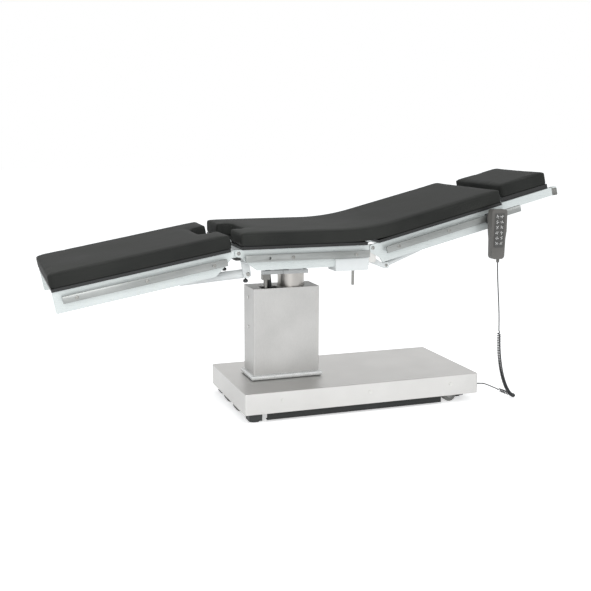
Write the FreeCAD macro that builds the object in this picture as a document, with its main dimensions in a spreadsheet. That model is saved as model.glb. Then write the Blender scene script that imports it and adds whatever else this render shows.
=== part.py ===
import FreeCAD, Part
import math
import os
import re
import Sketcher

# Operating table. All sizes in millimetres, +Z up, the head end towards +X, the near side towards -Y.
# The column axis is the zero of x, y for the whole table. Every size below is a cell of one sheet.
SIZES = {
    # Where the column axis stands from the part's origin
    "column_from_origin": -98.4,
    "middle_from_origin": 18.5,
    # Base: folded cover over a welded chassis
    "base_foot_reach": 221,
    "base_head_reach": 749,
    "base_half_wide": 241,
    "base_gap": 35,
    "base_top": 115,
    "base_wall": 3,
    "base_corner_round": 8,
    "base_edge_round": 3,
    "beam_near": 115,
    "beam_wide": 40,
    "beam_bottom": 60,
    "beam_foot_inset": 5,
    "beam_head_inset": 14,
    "cross_bottom": 66,
    "cross_thick": 12,
    "cross_half_wide": 36,
    "cross_inset": 12,
    "column_plate_thick": 12,
    "column_plate_half": 120,
    "mid_plate_from_head": 269,
    "mid_plate_wide": 80,
    "skirt_foot_inset": 88,
    "skirt_head_inset": 159,
    "skirt_bottom": 8,
    "skirt_lip": 17,
    "skirt_sheet": 3,
    "sleeve_half_long": 25,
    "sleeve_half_wide": 25,
    "sleeve_bottom": 5,
    "sleeve_bore": 21.6,
    "foot_lock_inset": 46,
    "foot_lock_side_inset": 41,
    "head_lock_inset": 44,
    "lock_stem": 12,
    "lock_pad": 21,
    "lock_pad_high": 7,
    "lock_stem_high": 33,
    # Castors
    "foot_castor_inset": 41,
    "foot_castor_y": 66,
    "head_castor_inset": 102,
    "head_castor_side_inset": 45,
    "wheel_round": 27,
    "wheel_thick": 13,
    "wheel_lift": 2,
    "castor_trail": 8,
    "axle_round": 4,
    "running_gap": 0.05,
    "fork_half_wide": 3.5,
    "fork_top": 60,
    "fork_foot_half": 9,
    "fork_crown_half": 18,
    "fork_crown_thick": 4,
    "swivel_round": 20,
    # Column: sheet cover, collar on the base, guide tube inside
    "column_half_long": 134,
    "column_half_deep": 65,
    "column_top": 473,
    "column_wall": 2,
    "column_top_thick": 3,
    "column_edge_round": 4,
    "collar_out": 12,
    "collar_high": 22,
    "column_screw_round": 6,
    "lift_axis_x": 38,
    "lift_round": 52,
    "lift_wall": 8,
    "lift_bottom": 76,
    "slide_gap": 0.3,
    "guide_wall": 4.7,
    "guide_top": 466,
    "slot_foot_end": 97,
    "slot_head_end": 25,
    "slot_near": 4,
    "slot_far": 58,
    # Lift head and tilt mechanism
    "head_plate_bottom": 526,
    "head_plate_thick": 14,
    "head_plate_half_long": 50,
    "head_plate_half_deep": 62,
    "ear_half_wide": 28,
    "ear_inner": 46,
    "ear_thick": 14,
    "tilt_axis_high": 590,
    "tilt_pin_round": 12,
    "rod_x": -80,
    "rod_y": -47,
    "rod_round": 8,
    "rod_bottom": 150,
    "rod_clamp_high": 20,
    "rod_clamp_half_long": 15,
    "rod_clamp_half_deep": 10.5,
    "block_half_long": 34,
    "block_half_deep": 40,
    "block_half_high": 28,
    "stub_long": 42,
    "lever_y": -36,
    "lever_thick": 10,
    "lever_reach": 104,
    "lever_drop": 12,
    "lever_round": 12,
    "strut_low_x": -38,
    "strut_low_z": 300,
    "strut_y": -16,
    "strut_round": 10,
    "strut_long": 190,
    "strut_rod_round": 6,
    "strut_rod_long": 200,
    "strut_pin_round": 5,
    "eye_round": 12,
    "bracket_half": 15,
    "tongue_thick": 8,
    # Top frame shared by seat, leg and back
    "hinge_high": 638,
    "leg_hinge_out": 243,
    "back_hinge_out": 277,
    "leg_rest_tilt": 10.2,
    "back_rest_tilt": 14,
    "side_inner": 236,
    "side_thick": 8,
    "frame_top": 13,
    "frame_deep": 64,
    "knuckle_round": 13,
    "hinge_gap": 2,
    "hinge_pin_round": 7,
    "board_thick": 11,
    "board_from_hinge": 25,
    "pad_gap": 0.3,
    "pad_thick": 47.7,
    "pad_half_wide": 260,
    "pad_edge_round": 6,
    # Accessory rails: the common 25 x 10 section
    "rail_high": 25,
    "rail_thick": 10,
    "rail_near": 259,
    "rail_below": 18,
    "spacer_round": 9,
    "rail_hole_round": 5,
    "screw_round": 7,
    # Seat section
    "bearing_thick": 12,
    "bearing_gap": 2,
    "stub_washer": 24,
    "hanger_round": 20,
    "cross_beam_bottom": 622,
    "cross_beam_wide": 34,
    "end_tube": 30,
    "end_tube_drop": 38,
    "foot_tube_x": -200,
    "head_tube_x": 235,
    "seat_rail_foot": 222,
    "seat_rail_head": 255,
    "seat_pad_foot": 235,
    "pad_from_back_hinge": 64,
    "cutout_half": 95,
    "cutout_deep": 58,
    "cutout_board_gap": 8,
    "actuator_from": 125,
    "actuator_to": 255,
    "actuator_bottom": 558,
    "actuator_top": 604,
    "actuator_near": 180,
    "actuator_far": 256,
    "actuator_pin_x": 197,
    "actuator_pin_low": 504,
    "actuator_pin_round": 4.5,
    # Leg section, measured from the leg hinge towards the foot end
    "leg_plate_end": 658,
    "leg_pad_from": 20,
    "leg_pad_to": 664,
    "leg_cutout_half": 96,
    "leg_cutout_deep": 68,
    "leg_rail_from": 50,
    "leg_rail_to": 629,
    "gas_y": 150,
    "gas_round": 16.5,
    "gas_long": 250,
    "gas_rod_round": 7,
    "gas_rod_long": 300,
    "gas_seat_x": -188,
    "gas_seat_z": 551,
    "gas_leg_x": -400,
    "gas_leg_z": -50,
    "gas_pin_round": 6,
    "gas_lug_out": 18,
    "lug_thick": 8,
    "cheek_in": 8,
    "cheek_thick": 4,
    "frame_bar": 30,
    # Back section, measured from the back hinge towards the head end
    "back_plate_end": 560,
    "back_pad_to": 562,
    "back_rail_from": 45,
    "back_rail_to": 630,
    "back_gas_y": 200,
    "back_gas_round": 11,
    "back_gas_long": 195,
    "back_gas_rod_round": 5,
    "back_gas_rod_long": 205,
    "back_gas_seat_x": 345,
    "back_gas_seat_z": 566,
    "back_gas_x": 330,
    "back_gas_z": -50,
    "back_lug_out": 12,
    "back_bar_high": 26,
    # Head section
    "head_hinge_x": 583,
    "head_hinge_z": -10,
    "head_bar_inner": 168,
    "head_bar_thick": 24,
    "head_bar_half_high": 16,
    "head_bar_to": 826,
    "head_pad_from": 604,
    "head_pad_to": 820,
    "head_pad_half": 188,
    "head_pin_round": 5,
    "head_bracket_thick": 6,
    # Hand control, its clamp on the rail and its curly lead
    "clamp_x": 478,
    "clamp_long": 36,
    "clamp_wall": 5,
    "handset_x": 777,
    "handset_top": 773,
    "handset_bottom": 582,
    "handset_half_wide": 33,
    "handset_foot_half": 27,
    "handset_waist": 690,
    "handset_near": 276,
    "handset_thick": 30,
    "keypad_thick": 1.5,
    "keypad_half_wide": 21,
    "keypad_from_foot": 45,
    "keypad_from_top": 14,
    "lead_x": 785,
    "clamp_hook_x": 751,
    "hook_half_wide": 9,
    "relief_round": 6,
    "relief_long": 14,
    "lead_round": 2.25,
    "curl_round": 8,
    "gland_side_inset": 41,
    "gland_z": 60,
    "gland_round": 8,
    "gland_long": 12,
    "plug_high": 80,
    "plug_stands_out": 2,
}

doc = FreeCAD.newDocument("operating_table")
sheet = doc.addObject("Spreadsheet::Sheet", "Sizes")
for row, (alias, value) in enumerate(SIZES.items(), 1):
    sheet.set("A%d" % row, alias)
    sheet.set("B%d" % row, str(value))
    sheet.setAlias("B%d" % row, alias)
doc.recompute()

AXIS_TURN = {
    "x": FreeCAD.Rotation(FreeCAD.Vector(0, 1, 0), 90),
    "y": FreeCAD.Rotation(FreeCAD.Vector(1, 0, 0), -90),
    "z": FreeCAD.Rotation(),
}
PLANE_NORMAL = {"XY": 2, "XZ": 1, "YZ": 0}
CROSS_HALF_LONG = "(base_half_wide - cross_inset)"
# The four castors and the four lock feet stand in from the ends and sides of the base
CASTOR_PLACES = {
    "foot": ("(foot_castor_inset - base_foot_reach)", "foot_castor_y"),
    "head": ("(base_head_reach - head_castor_inset)", "(base_half_wide - head_castor_side_inset)"),
}
LOCK_PLACES = {
    "foot": ("(foot_lock_inset - base_foot_reach)", "(base_half_wide - foot_lock_side_inset)"),
    "head": ("(base_head_reach - head_lock_inset)", "(beam_near + beam_wide / 2)"),
}
SECTIONS = {
    "table": ("column_from_origin", "0", None),
    "leg": ("column_from_origin - leg_hinge_out", "hinge_high", "leg_rest_tilt"),
    "back": ("column_from_origin + back_hinge_out", "hinge_high", "back_rest_tilt"),
}
nodes = []


def bound(text):
    """The text with every size name pointed at its cell."""
    def cell(match):
        word = match.group(0)
        return "Sizes." + word if word in SIZES else word
    return re.sub(r"[a-z_]+", cell, str(text))


def number(text):
    """The value of a text of size names, in mm."""
    plain = re.sub(r"[a-z_]+", lambda m: "(%r)" % SIZES[m.group(0)], str(text))
    return FreeCAD.Units.Quantity(plain).Value


def move(piece, x=0, y=0, z=0):
    for axis, text in zip("xyz", (x, y, z)):
        piece.setExpression("Placement.Base." + axis, bound(text))
    return piece


def box(name, x, y, z):
    """A block; x, y and z are each a pair of its two ends."""
    block = doc.addObject("Part::Box", name)
    for length, (start, end) in zip(("Length", "Width", "Height"), (x, y, z)):
        block.setExpression(length, bound("(%s) - (%s)" % (end, start)))
    return move(block, x[0], y[0], z[0])


def rod(name, axis, start, radius, length):
    """A round bar from the point start along +axis."""
    bar = doc.addObject("Part::Cylinder", name)
    bar.Placement = FreeCAD.Placement(FreeCAD.Vector(), AXIS_TURN[axis])
    bar.setExpression("Radius", bound(radius))
    bar.setExpression("Height", bound(length))
    return move(bar, *start)


def cut(name, base, *tools):
    for tool in tools:
        result = doc.addObject("Part::Cut", name)
        result.Base, result.Tool = base, tool
        base = result
    return base


def common(name, base, region):
    result = doc.addObject("Part::Common", name)
    result.Base, result.Tool = base, region
    return result


def walls(name, blank, x, y, z, thick):
    """The four upright walls of a sheet box, each a piece of the rounded blank that meets the next."""
    inner_y = ("%s + %s" % (y[0], thick), "%s - %s" % (y[1], thick))
    regions = {
        "near": (x, (y[0], inner_y[0]), z),
        "far": (x, (inner_y[1], y[1]), z),
        "foot": ((x[0], "%s + %s" % (x[0], thick)), inner_y, z),
        "head": (("%s - %s" % (x[1], thick), x[1]), inner_y, z),
    }
    return [common("%s_wall_%s" % (name, side), blank, box("%s_wall_%s_region" % (name, side), *region))
            for side, region in regions.items()]


def fuse(name, *pieces):
    joined = doc.addObject("Part::MultiFuse", name)
    joined.Shapes = list(pieces)
    return joined


def mirrored(piece):
    """The same piece on the far side of the table's middle plane."""
    twin = doc.addObject("Part::Mirroring", piece.Name + "_far")
    twin.Source = piece
    twin.Normal = FreeCAD.Vector(0, 1, 0)
    return twin


def pair(piece):
    return [piece, mirrored(piece)]


def along_edges(shape, axis, points):
    """Names of the straight edges parallel to an axis that pass through the given profile points."""
    found = []
    for index, edge in enumerate(shape.Edges, 1):
        start, end = edge.Vertexes[0].Point, edge.Vertexes[-1].Point
        flat = [i for i in range(3) if i != axis]
        if any(abs(start[i] - end[i]) > 1e-6 for i in flat) or abs(start[axis] - end[axis]) < 1e-6:
            continue
        if any(all(abs(start[i] - p[k]) < 1e-4 for k, i in enumerate(flat)) for p in points):
            found.append("Edge%d" % index)
    return found


def rim_edges(shape, axis, level):
    """Names of the edges that lie wholly at one level along an axis."""
    return [
        "Edge%d" % index
        for index, edge in enumerate(shape.Edges, 1)
        if abs(edge.BoundBox.getPoint(0)[axis] - level) < 1e-4
        and abs(edge.BoundBox.getPoint(6)[axis] - level) < 1e-4
    ]


def fillet(body, last, edges, radius):
    doc.recompute()
    rounding = body.newObject("PartDesign::Fillet", body.Name + "_round")
    rounding.Base = (last, edges(last.Shape))
    rounding.setExpression("Radius", bound(radius))
    return rounding


def plate(name, plane, points, span, rounds=(), rim=None, holes=()):
    """A padded outline: span is its two levels along the plane's normal, rounds are
    (corner numbers, radius), rim rounds the edge of the upper face, holes are (u, v, radius)."""
    body = doc.addObject("PartDesign::Body", name)
    origin = [o for o in body.Origin.OriginFeatures if o.Role == plane + "_Plane"][0]
    sketch = body.newObject("Sketcher::SketchObject", name + "_outline")
    sketch.AttachmentSupport = [(origin, "")]
    sketch.MapMode = "FlatFace"
    corners = [(number(u), number(v)) for u, v in points]
    count = len(corners)
    for (u, v), (next_u, next_v) in zip(corners, corners[1:] + corners[:1]):
        line = Part.LineSegment(FreeCAD.Vector(u, v, 0), FreeCAD.Vector(next_u, next_v, 0))
        sketch.addGeometry(line, False)
    for i in range(count):
        sketch.addConstraint(Sketcher.Constraint("Coincident", i, 2, (i + 1) % count, 1))
    for i, (texts, values) in enumerate(zip(points, corners)):
        for kind, text, value in zip(("DistanceX", "DistanceY"), texts, values):
            where = sketch.addConstraint(Sketcher.Constraint(kind, -1, 1, i, 1, value))
            if str(text) != "0":
                sketch.setExpression("Constraints[%d]" % where, bound(text))
    for k, (u, v, radius) in enumerate(holes):
        centre = FreeCAD.Vector(number(u), number(v), 0)
        circle = Part.Circle(centre, FreeCAD.Vector(0, 0, 1), number(radius))
        sketch.addGeometry(circle, False)
        sizes = (("Radius", (count + k,), radius), ("DistanceX", (-1, 1, count + k, 3), u),
                 ("DistanceY", (-1, 1, count + k, 3), v))
        for kind, what, text in sizes:
            where = sketch.addConstraint(Sketcher.Constraint(kind, *what, number(text)))
            if str(text) != "0":
                sketch.setExpression("Constraints[%d]" % where, bound(text))
    pad = body.newObject("PartDesign::Pad", name + "_pad")
    pad.Profile = sketch
    pad.setExpression("Length", bound("(%s) - (%s)" % (span[1], span[0])))
    pad.Reversed = plane == "XZ"
    last = pad
    axis = PLANE_NORMAL[plane]
    for numbers, radius in rounds:
        chosen = [corners[int(i)] for i in numbers]
        last = fillet(body, last, lambda shape: along_edges(shape, axis, chosen), radius)
    if rim:
        level = number("(%s) - (%s)" % (span[1], span[0]))
        last = fillet(body, last, lambda shape: rim_edges(shape, axis, level), rim)
    shift = [0, 0, 0]
    shift[axis] = span[0]
    return move(body, *shift)


def rectangle(left, right, low, high):
    return [(left, low), (right, low), (right, high), (left, high)]


def node(label, section, *pieces):
    """One named sub-part, set in its section of the table."""
    east, up, tilt = SECTIONS[section]
    part = doc.addObject("Part::Compound", label)
    part.Links = list(pieces)
    part.Label = label
    turn = FreeCAD.Rotation(FreeCAD.Vector(0, -1, 0), 1 if tilt else 0)
    part.Placement = FreeCAD.Placement(FreeCAD.Vector(), turn)
    move(part, east, "middle_from_origin", up)
    if tilt:
        part.setExpression("Placement.Rotation.Angle", bound(tilt))
    nodes.append(part)
    return part


def base_cover():
    x = ("-base_foot_reach", "base_head_reach")
    y = ("-base_half_wide", "base_half_wide")
    blank = plate("cover_blank", "XY", rectangle(*x, *y), ("base_gap", "base_top"),
                  [((0, 1, 2, 3), "base_corner_round")], "base_edge_round")
    sides = walls("cover", blank, x, y, ("base_gap", "base_top - base_wall"), "base_wall")
    top = common("cover_top", blank, box("cover_top_region", x, y, ("base_top - base_wall", "base_top")))
    opening = box("cover_opening", ("column_wall - column_half_long", "column_half_long - column_wall"),
                  ("column_wall - column_half_deep", "column_half_deep - column_wall"),
                  ("base_gap", "base_top + 1"))
    node("base_cover", "table", *sides, cut("cover_cut", top, opening))


def across(name, x, z):
    """A chassis plate in three lengths: between the two long beams and outside each of them."""
    middle = box(name, x, ("-beam_near", "beam_near"), z)
    outside = box(name + "_side", x, ("-" + CROSS_HALF_LONG, "-beam_near - beam_wide"), z)
    return middle, pair(outside)


def base_chassis():
    beam = box("chassis_beam", ("beam_foot_inset - base_foot_reach", "base_head_reach - beam_head_inset"),
               ("-beam_near - beam_wide", "-beam_near"), ("beam_bottom", "base_top - base_wall"))
    level = ("cross_bottom", "cross_bottom + cross_thick")
    parts = pair(beam)
    for end, (x, y) in CASTOR_PLACES.items():
        reach = (x + " - cross_half_wide", x + " + cross_half_wide")
        middle, sides = across("chassis_cross_" + end, reach, level)
        bearing = rod("swivel_bearing_" + end, "z", (x, "-" + y, "fork_top + slide_gap"), "swivel_round",
                      "cross_bottom - fork_top - slide_gap")
        parts += [middle, *sides, *pair(bearing)]
    low = ("beam_bottom", "beam_bottom + column_plate_thick")
    column_plate, column_sides = across("chassis_column_plate", (
        "lift_axis_x - column_plate_half", "lift_axis_x + column_plate_half"), low)
    bore = rod("chassis_bore", "z", ("lift_axis_x", 0, "beam_bottom - 1"),
               "lift_round + slide_gap + guide_wall", "column_plate_thick + 2")
    mid_start = "base_head_reach - mid_plate_from_head"
    mid_plate, mid_sides = across("chassis_mid_plate", (mid_start, mid_start + " + mid_plate_wide"), low)
    parts += [cut("chassis_column_seat", column_plate, bore), *column_sides, mid_plate, *mid_sides]
    node("base_chassis", "table", *parts)


def base_skirts():
    inner = "-" + CROSS_HALF_LONG
    out = inner + " - skirt_sheet"
    top = "cross_bottom + cross_thick"
    run = ("skirt_foot_inset - base_foot_reach", "base_head_reach - skirt_head_inset")
    upright = box("skirt_upright", run, (out, inner), ("skirt_bottom", top))
    lip = box("skirt_lip_bar", run, (inner, out + " + skirt_lip"),
              ("skirt_bottom", "skirt_bottom + skirt_sheet"))
    node("base_skirts", "table", *pair(upright), *pair(lip))


def lock_feet():
    sleeves = []
    for end, top in (("foot", "cross_bottom"), ("head", "beam_bottom")):
        x, y = LOCK_PLACES[end]
        block = box("sleeve_" + end, (x + " - sleeve_half_long", x + " + sleeve_half_long"),
                    ("-%s - sleeve_half_wide" % y, "-%s + sleeve_half_wide" % y), ("sleeve_bottom", top))
        bore = rod("sleeve_bore_" + end, "z", (x, "-" + y, "sleeve_bottom - 1"), "sleeve_bore",
                   top + " - sleeve_bottom - 2")
        sleeves += pair(cut("sleeve_cut_" + end, block, bore))
    node("lock_foot_sleeves", "table", *sleeves)
    places = [("foot", "-"), ("foot", ""), ("head", "-"), ("head", "")]
    for index, (end, sign) in enumerate(places, 1):
        x, y = LOCK_PLACES[end][0], sign + LOCK_PLACES[end][1]
        stem = rod("lock_stem_%d" % index, "z", (x, y, 0), "lock_stem", "lock_stem_high")
        pad = rod("lock_pad_%d" % index, "z", (x, y, 0), "lock_pad", "lock_pad_high")
        node("lock_foot_%d" % index, "table", fuse("lock_foot_weld_%d" % index, stem, pad))


def castors():
    places = [("foot", "-"), ("foot", ""), ("head", "-"), ("head", "")]
    for index, (end, sign) in enumerate(places, 1):
        x, y = CASTOR_PLACES[end][0], sign + CASTOR_PLACES[end][1]
        axle_x = x + " - castor_trail"
        axle_z = "wheel_lift + wheel_round"
        half = "fork_half_wide"
        low = axle_z + " - fork_foot_half + 1"
        arm = plate("fork_arm_%d" % index, "XZ",
                    [(axle_x + " - fork_foot_half", low), (axle_x + " + fork_foot_half", low),
                     (x + " + fork_crown_half", "fork_top - fork_crown_thick - 1"),
                     (x + " + fork_crown_half", "fork_top - 1"), (x + " - fork_crown_half", "fork_top - 1"),
                     (x + " - fork_crown_half", "fork_top - fork_crown_thick - 1")],
                    ("%s - %s" % (y, half), "%s + %s" % (y, half)), [((0, 1), "fork_foot_half - 2")],
                    holes=[(axle_x, axle_z, "axle_round + running_gap")])
        crown = rod("fork_crown_%d" % index, "z", (x, y, "fork_top - fork_crown_thick"), "swivel_round",
                    "fork_crown_thick")
        node("castor_fork_%d" % index, "table", fuse("fork_weld_%d" % index, arm, crown))
        axle = rod("wheel_axle_%d" % index, "y", (axle_x, "%s - %s - 10" % (y, half), axle_z), "axle_round",
                   "2 * %s + 20" % half)
        near_y, far_y = "%s - %s - slide_gap - wheel_thick" % (y, half), "%s + %s + slide_gap" % (y, half)
        near = rod("wheel_near_%d" % index, "y", (axle_x, near_y, axle_z), "wheel_round", "wheel_thick")
        far = rod("wheel_far_%d" % index, "y", (axle_x, far_y, axle_z), "wheel_round", "wheel_thick")
        node("castor_wheels_%d" % index, "table", fuse("wheels_weld_%d" % index, axle, near, far))


def column():
    x = ("-column_half_long", "column_half_long")
    y = ("-column_half_deep", "column_half_deep")
    under_top = "column_top - column_top_thick"
    blank = plate("column_blank", "XY", rectangle(*x, *y), ("base_top", "column_top"),
                  [((0, 1, 2, 3), "column_edge_round")])
    sides = walls("column", blank, x, y, ("base_top", under_top), "column_wall")
    lid = common("column_lid", blank, box("column_lid_region", x, y, (under_top, "column_top")))
    hole = rod("column_hole", "z", ("lift_axis_x", 0, "column_top - 10"), "lift_round + 1", 20)
    slot = box("column_slot", ("-slot_foot_end", "-slot_head_end"), ("-slot_far", "-slot_near"),
               ("column_top - 10", "column_top + 10"))
    node("column_cover", "table", *sides, cut("column_cut", lid, hole, slot))
    wide_x = ("-column_half_long - collar_out", "column_half_long + collar_out")
    wide_y = ("-column_half_deep - collar_out", "column_half_deep + collar_out")
    ring = plate("collar_blank", "XY", rectangle(*wide_x, *wide_y), ("base_top", "base_top + collar_high"),
                 [((0, 1, 2, 3), "collar_out")], "collar_out - 3")
    node("column_collar", "table",
         *walls("collar", ring, wide_x, wide_y, ("base_top", "base_top + collar_high"), "collar_out"))
    outer = rod("guide_outer", "z", ("lift_axis_x", 0, "beam_bottom"),
                "lift_round + slide_gap + guide_wall", "guide_top - beam_bottom")
    inner = rod("guide_inner", "z", ("lift_axis_x", 0, "beam_bottom - 1"), "lift_round + slide_gap",
                "guide_top - beam_bottom + 2")
    node("column_tube", "table", cut("guide_cut", outer, inner))
    screws = []
    for index, (y, z) in enumerate(((6, 432), (3, 316))):
        screws.append(rod("column_screw_%d" % index, "x", ("-column_half_long - plug_stands_out", y, z),
                          "column_screw_round", "plug_stands_out"))
    for index, x in enumerate(("147 - base_foot_reach", "280", "base_head_reach - 122")):
        plug = rod("base_plug_%d" % index, "y", (x, "-base_half_wide - plug_stands_out", "plug_high"),
                   "screw_round", "plug_stands_out")
        screws += pair(plug)
    node("cover_screws", "table", *screws)
    gland = rod("gland_body", "x", ("base_head_reach", "gland_side_inset - base_half_wide", "gland_z"),
                "gland_round", "gland_long")
    node("cord_gland", "table", gland)


def lift():
    outer = rod("lift_outer", "z", ("lift_axis_x", 0, "lift_bottom"), "lift_round",
                "head_plate_bottom - lift_bottom")
    inner = rod("lift_inner", "z", ("lift_axis_x", 0, "lift_bottom - 1"), "lift_round - lift_wall",
                "head_plate_bottom - lift_bottom + 2")
    node("lift_column", "table", cut("lift_cut", outer, inner))
    top = "head_plate_bottom + head_plate_thick"
    near, far = "lift_axis_x - head_plate_half_long", "lift_axis_x + head_plate_half_long"
    deck = box("head_deck", (near, far), ("-head_plate_half_deep", "head_plate_half_deep"),
               ("head_plate_bottom", top))
    arm = box("head_arm", ("rod_x - rod_clamp_half_long", near), ("rod_y - 9", "rod_y + 9"),
              ("head_plate_bottom", top))
    ear = plate("head_ear", "XZ",
                [("lift_axis_x - ear_half_wide", top), ("lift_axis_x + ear_half_wide", top),
                 ("lift_axis_x + ear_half_wide", "tilt_axis_high + ear_half_wide"),
                 ("lift_axis_x - ear_half_wide", "tilt_axis_high + ear_half_wide")],
                ("-ear_inner - ear_thick", "-ear_inner"), [((2, 3), "ear_half_wide - 1")],
                holes=[("lift_axis_x", "tilt_axis_high", "tilt_pin_round")])
    node("column_head", "table", fuse("head_weld", deck, arm, *pair(ear)))
    reach = "ear_inner + ear_thick + 6"
    axle = rod("trend_pin", "y", ("lift_axis_x", "-(%s)" % reach, "tilt_axis_high"), "tilt_pin_round",
               "2 * (%s)" % reach)
    node("trend_axle", "table", axle)
    guide = rod("guide_bar", "z", ("rod_x", "rod_y", "rod_bottom"), "rod_round",
                "head_plate_bottom - rod_bottom")
    clamp = box("guide_clamp", ("rod_x - rod_clamp_half_long", "rod_x + rod_clamp_half_long"),
                ("rod_y - rod_clamp_half_deep", "rod_y + rod_clamp_half_deep"),
                ("head_plate_bottom - rod_clamp_high", "head_plate_bottom"))
    clamp_bore = rod("guide_clamp_bore", "z", ("rod_x", "rod_y", "rod_bottom"), "rod_round",
                     "head_plate_bottom")
    node("guide_rod", "table", guide, cut("guide_clamp_cut", clamp, clamp_bore))
    low, high = "strut_low_z - bracket_half", "strut_low_z + bracket_half"
    tongue = plate("bracket_tongue", "XZ",
                   rectangle("rod_x", "strut_low_x + eye_round", low, high),
                   ("strut_y - 6 - tongue_thick", "strut_y - 6"), [((1, 2), 10)])
    boss = box("bracket_boss", ("rod_x - 14", "rod_x + 14"), ("rod_y - 12", "strut_y - 6"), (low, high))
    bracket_bore = rod("bracket_bore", "z", ("rod_x", "rod_y", low + " - 5"), "rod_round",
                       "2 * bracket_half + 10")
    node("strut_bracket", "table", cut("bracket_cut", fuse("bracket_weld", boss, tongue), bracket_bore))


def tilt_head():
    x, z = "lift_axis_x", "tilt_axis_high"
    block = box("tilt_blank", (x + " - block_half_long", x + " + block_half_long"),
                ("-block_half_deep", "block_half_deep"),
                (z + " - block_half_high", z + " + block_half_high"))
    lever = plate("tilt_lever", "XZ",
                  [(x + " - lever_reach - lever_round", z + " - lever_drop - lever_round"),
                   (x, z + " - lever_drop - 6"), (x, z + " + 10"),
                   (x + " - lever_reach - lever_round", z + " - lever_drop + lever_round")],
                  ("lever_y", "lever_y + lever_thick"), [((0, 3), "lever_round - 0.5")])
    bore = rod("tilt_bore", "y", (x, "-block_half_deep - 1", z), "tilt_pin_round + running_gap",
               "2 * block_half_deep + 2")
    starts = {"foot": x + " - block_half_long - stub_long", "head": x + " + block_half_long"}
    stubs = [rod("stub_" + end, "x", (start, 0, z), "tilt_pin_round", "stub_long")
             for end, start in starts.items()]
    pin = rod("lever_pin", "y", (x + " - lever_reach", "lever_y", z + " - lever_drop"), "strut_pin_round",
              "strut_y - lever_y + 9")
    node("tilt_head", "table", cut("tilt_cut", fuse("tilt_weld", block, lever, *stubs, pin), bore))


def sleeve(name, start, end, outer, bore, long, eye, eye_half, pin):
    """Cylinder of a strut from start towards end, all in the middle plane of y; open at its far end."""
    barrel = rod(name + "_barrel", "z", (0, 0, 0), outer, long)
    hollow = rod(name + "_hollow", "z", (0, 0, eye + " + 4"), bore, long)
    end_eye = rod(name + "_eye", "y", (0, "-(%s)" % eye_half, 0), eye, "2 * (%s)" % eye_half)
    hole = rod(name + "_hole", "y", (0, "-(%s) - 1" % eye_half, 0), pin, "2 * (%s) + 2" % eye_half)
    side = box(name + "_flat", ("-(%s)" % outer, outer), (eye_half, outer + " + 1"),
               ("-(%s)" % outer, eye + " + 6"))
    flats = [side, mirrored(side)] if number(outer) > number(eye_half) else []
    return aim(cut(name, fuse(name + "_weld", barrel, end_eye), hollow, hole, *flats), start, end)


def plunger(name, start, end, radius, long, eye, eye_half, pin):
    """Rod of a strut from its far pivot back towards start."""
    bar = rod(name + "_bar", "z", (0, 0, 0), radius, long)
    end_eye = rod(name + "_eye", "y", (0, "-(%s)" % eye_half, 0), eye, "2 * (%s)" % eye_half)
    hole = rod(name + "_hole", "y", (0, "-(%s) - 1" % eye_half, 0), pin, "2 * (%s) + 2" % eye_half)
    return aim(cut(name, fuse(name + "_weld", bar, end_eye), hole), end, start)


def aim(piece, start, end):
    """Stand a piece that was made along +z at start, pointing at end; both are (x, y, z) texts."""
    run = "((%s) - (%s))" % (end[0], start[0])
    rise = "((%s) - (%s))" % (end[2], start[2])
    piece.Placement = FreeCAD.Placement(FreeCAD.Vector(), FreeCAD.Rotation(FreeCAD.Vector(0, 1, 0), 1))
    move(piece, *start)
    piece.setExpression("Placement.Rotation.Angle", bound("90deg - atan2(%s; %s)" % (rise, run)))
    return piece


def tilt_strut():
    high = ("lift_axis_x - lever_reach", "strut_y", "tilt_axis_high - lever_drop")
    low = ("strut_low_x", "strut_y", "strut_low_z")
    pin = "strut_pin_round + running_gap"
    barrel = sleeve("tilt_barrel", high, low, "strut_round", "strut_rod_round + slide_gap",
                    "strut_long", "eye_round", "9", pin)
    node("tilt_cylinder", "table", barrel)
    bar = plunger("tilt_plunger", high, low, "strut_rod_round", "strut_rod_long", "eye_round - 3", "5", pin)
    node("tilt_rod", "table", bar)


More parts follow.
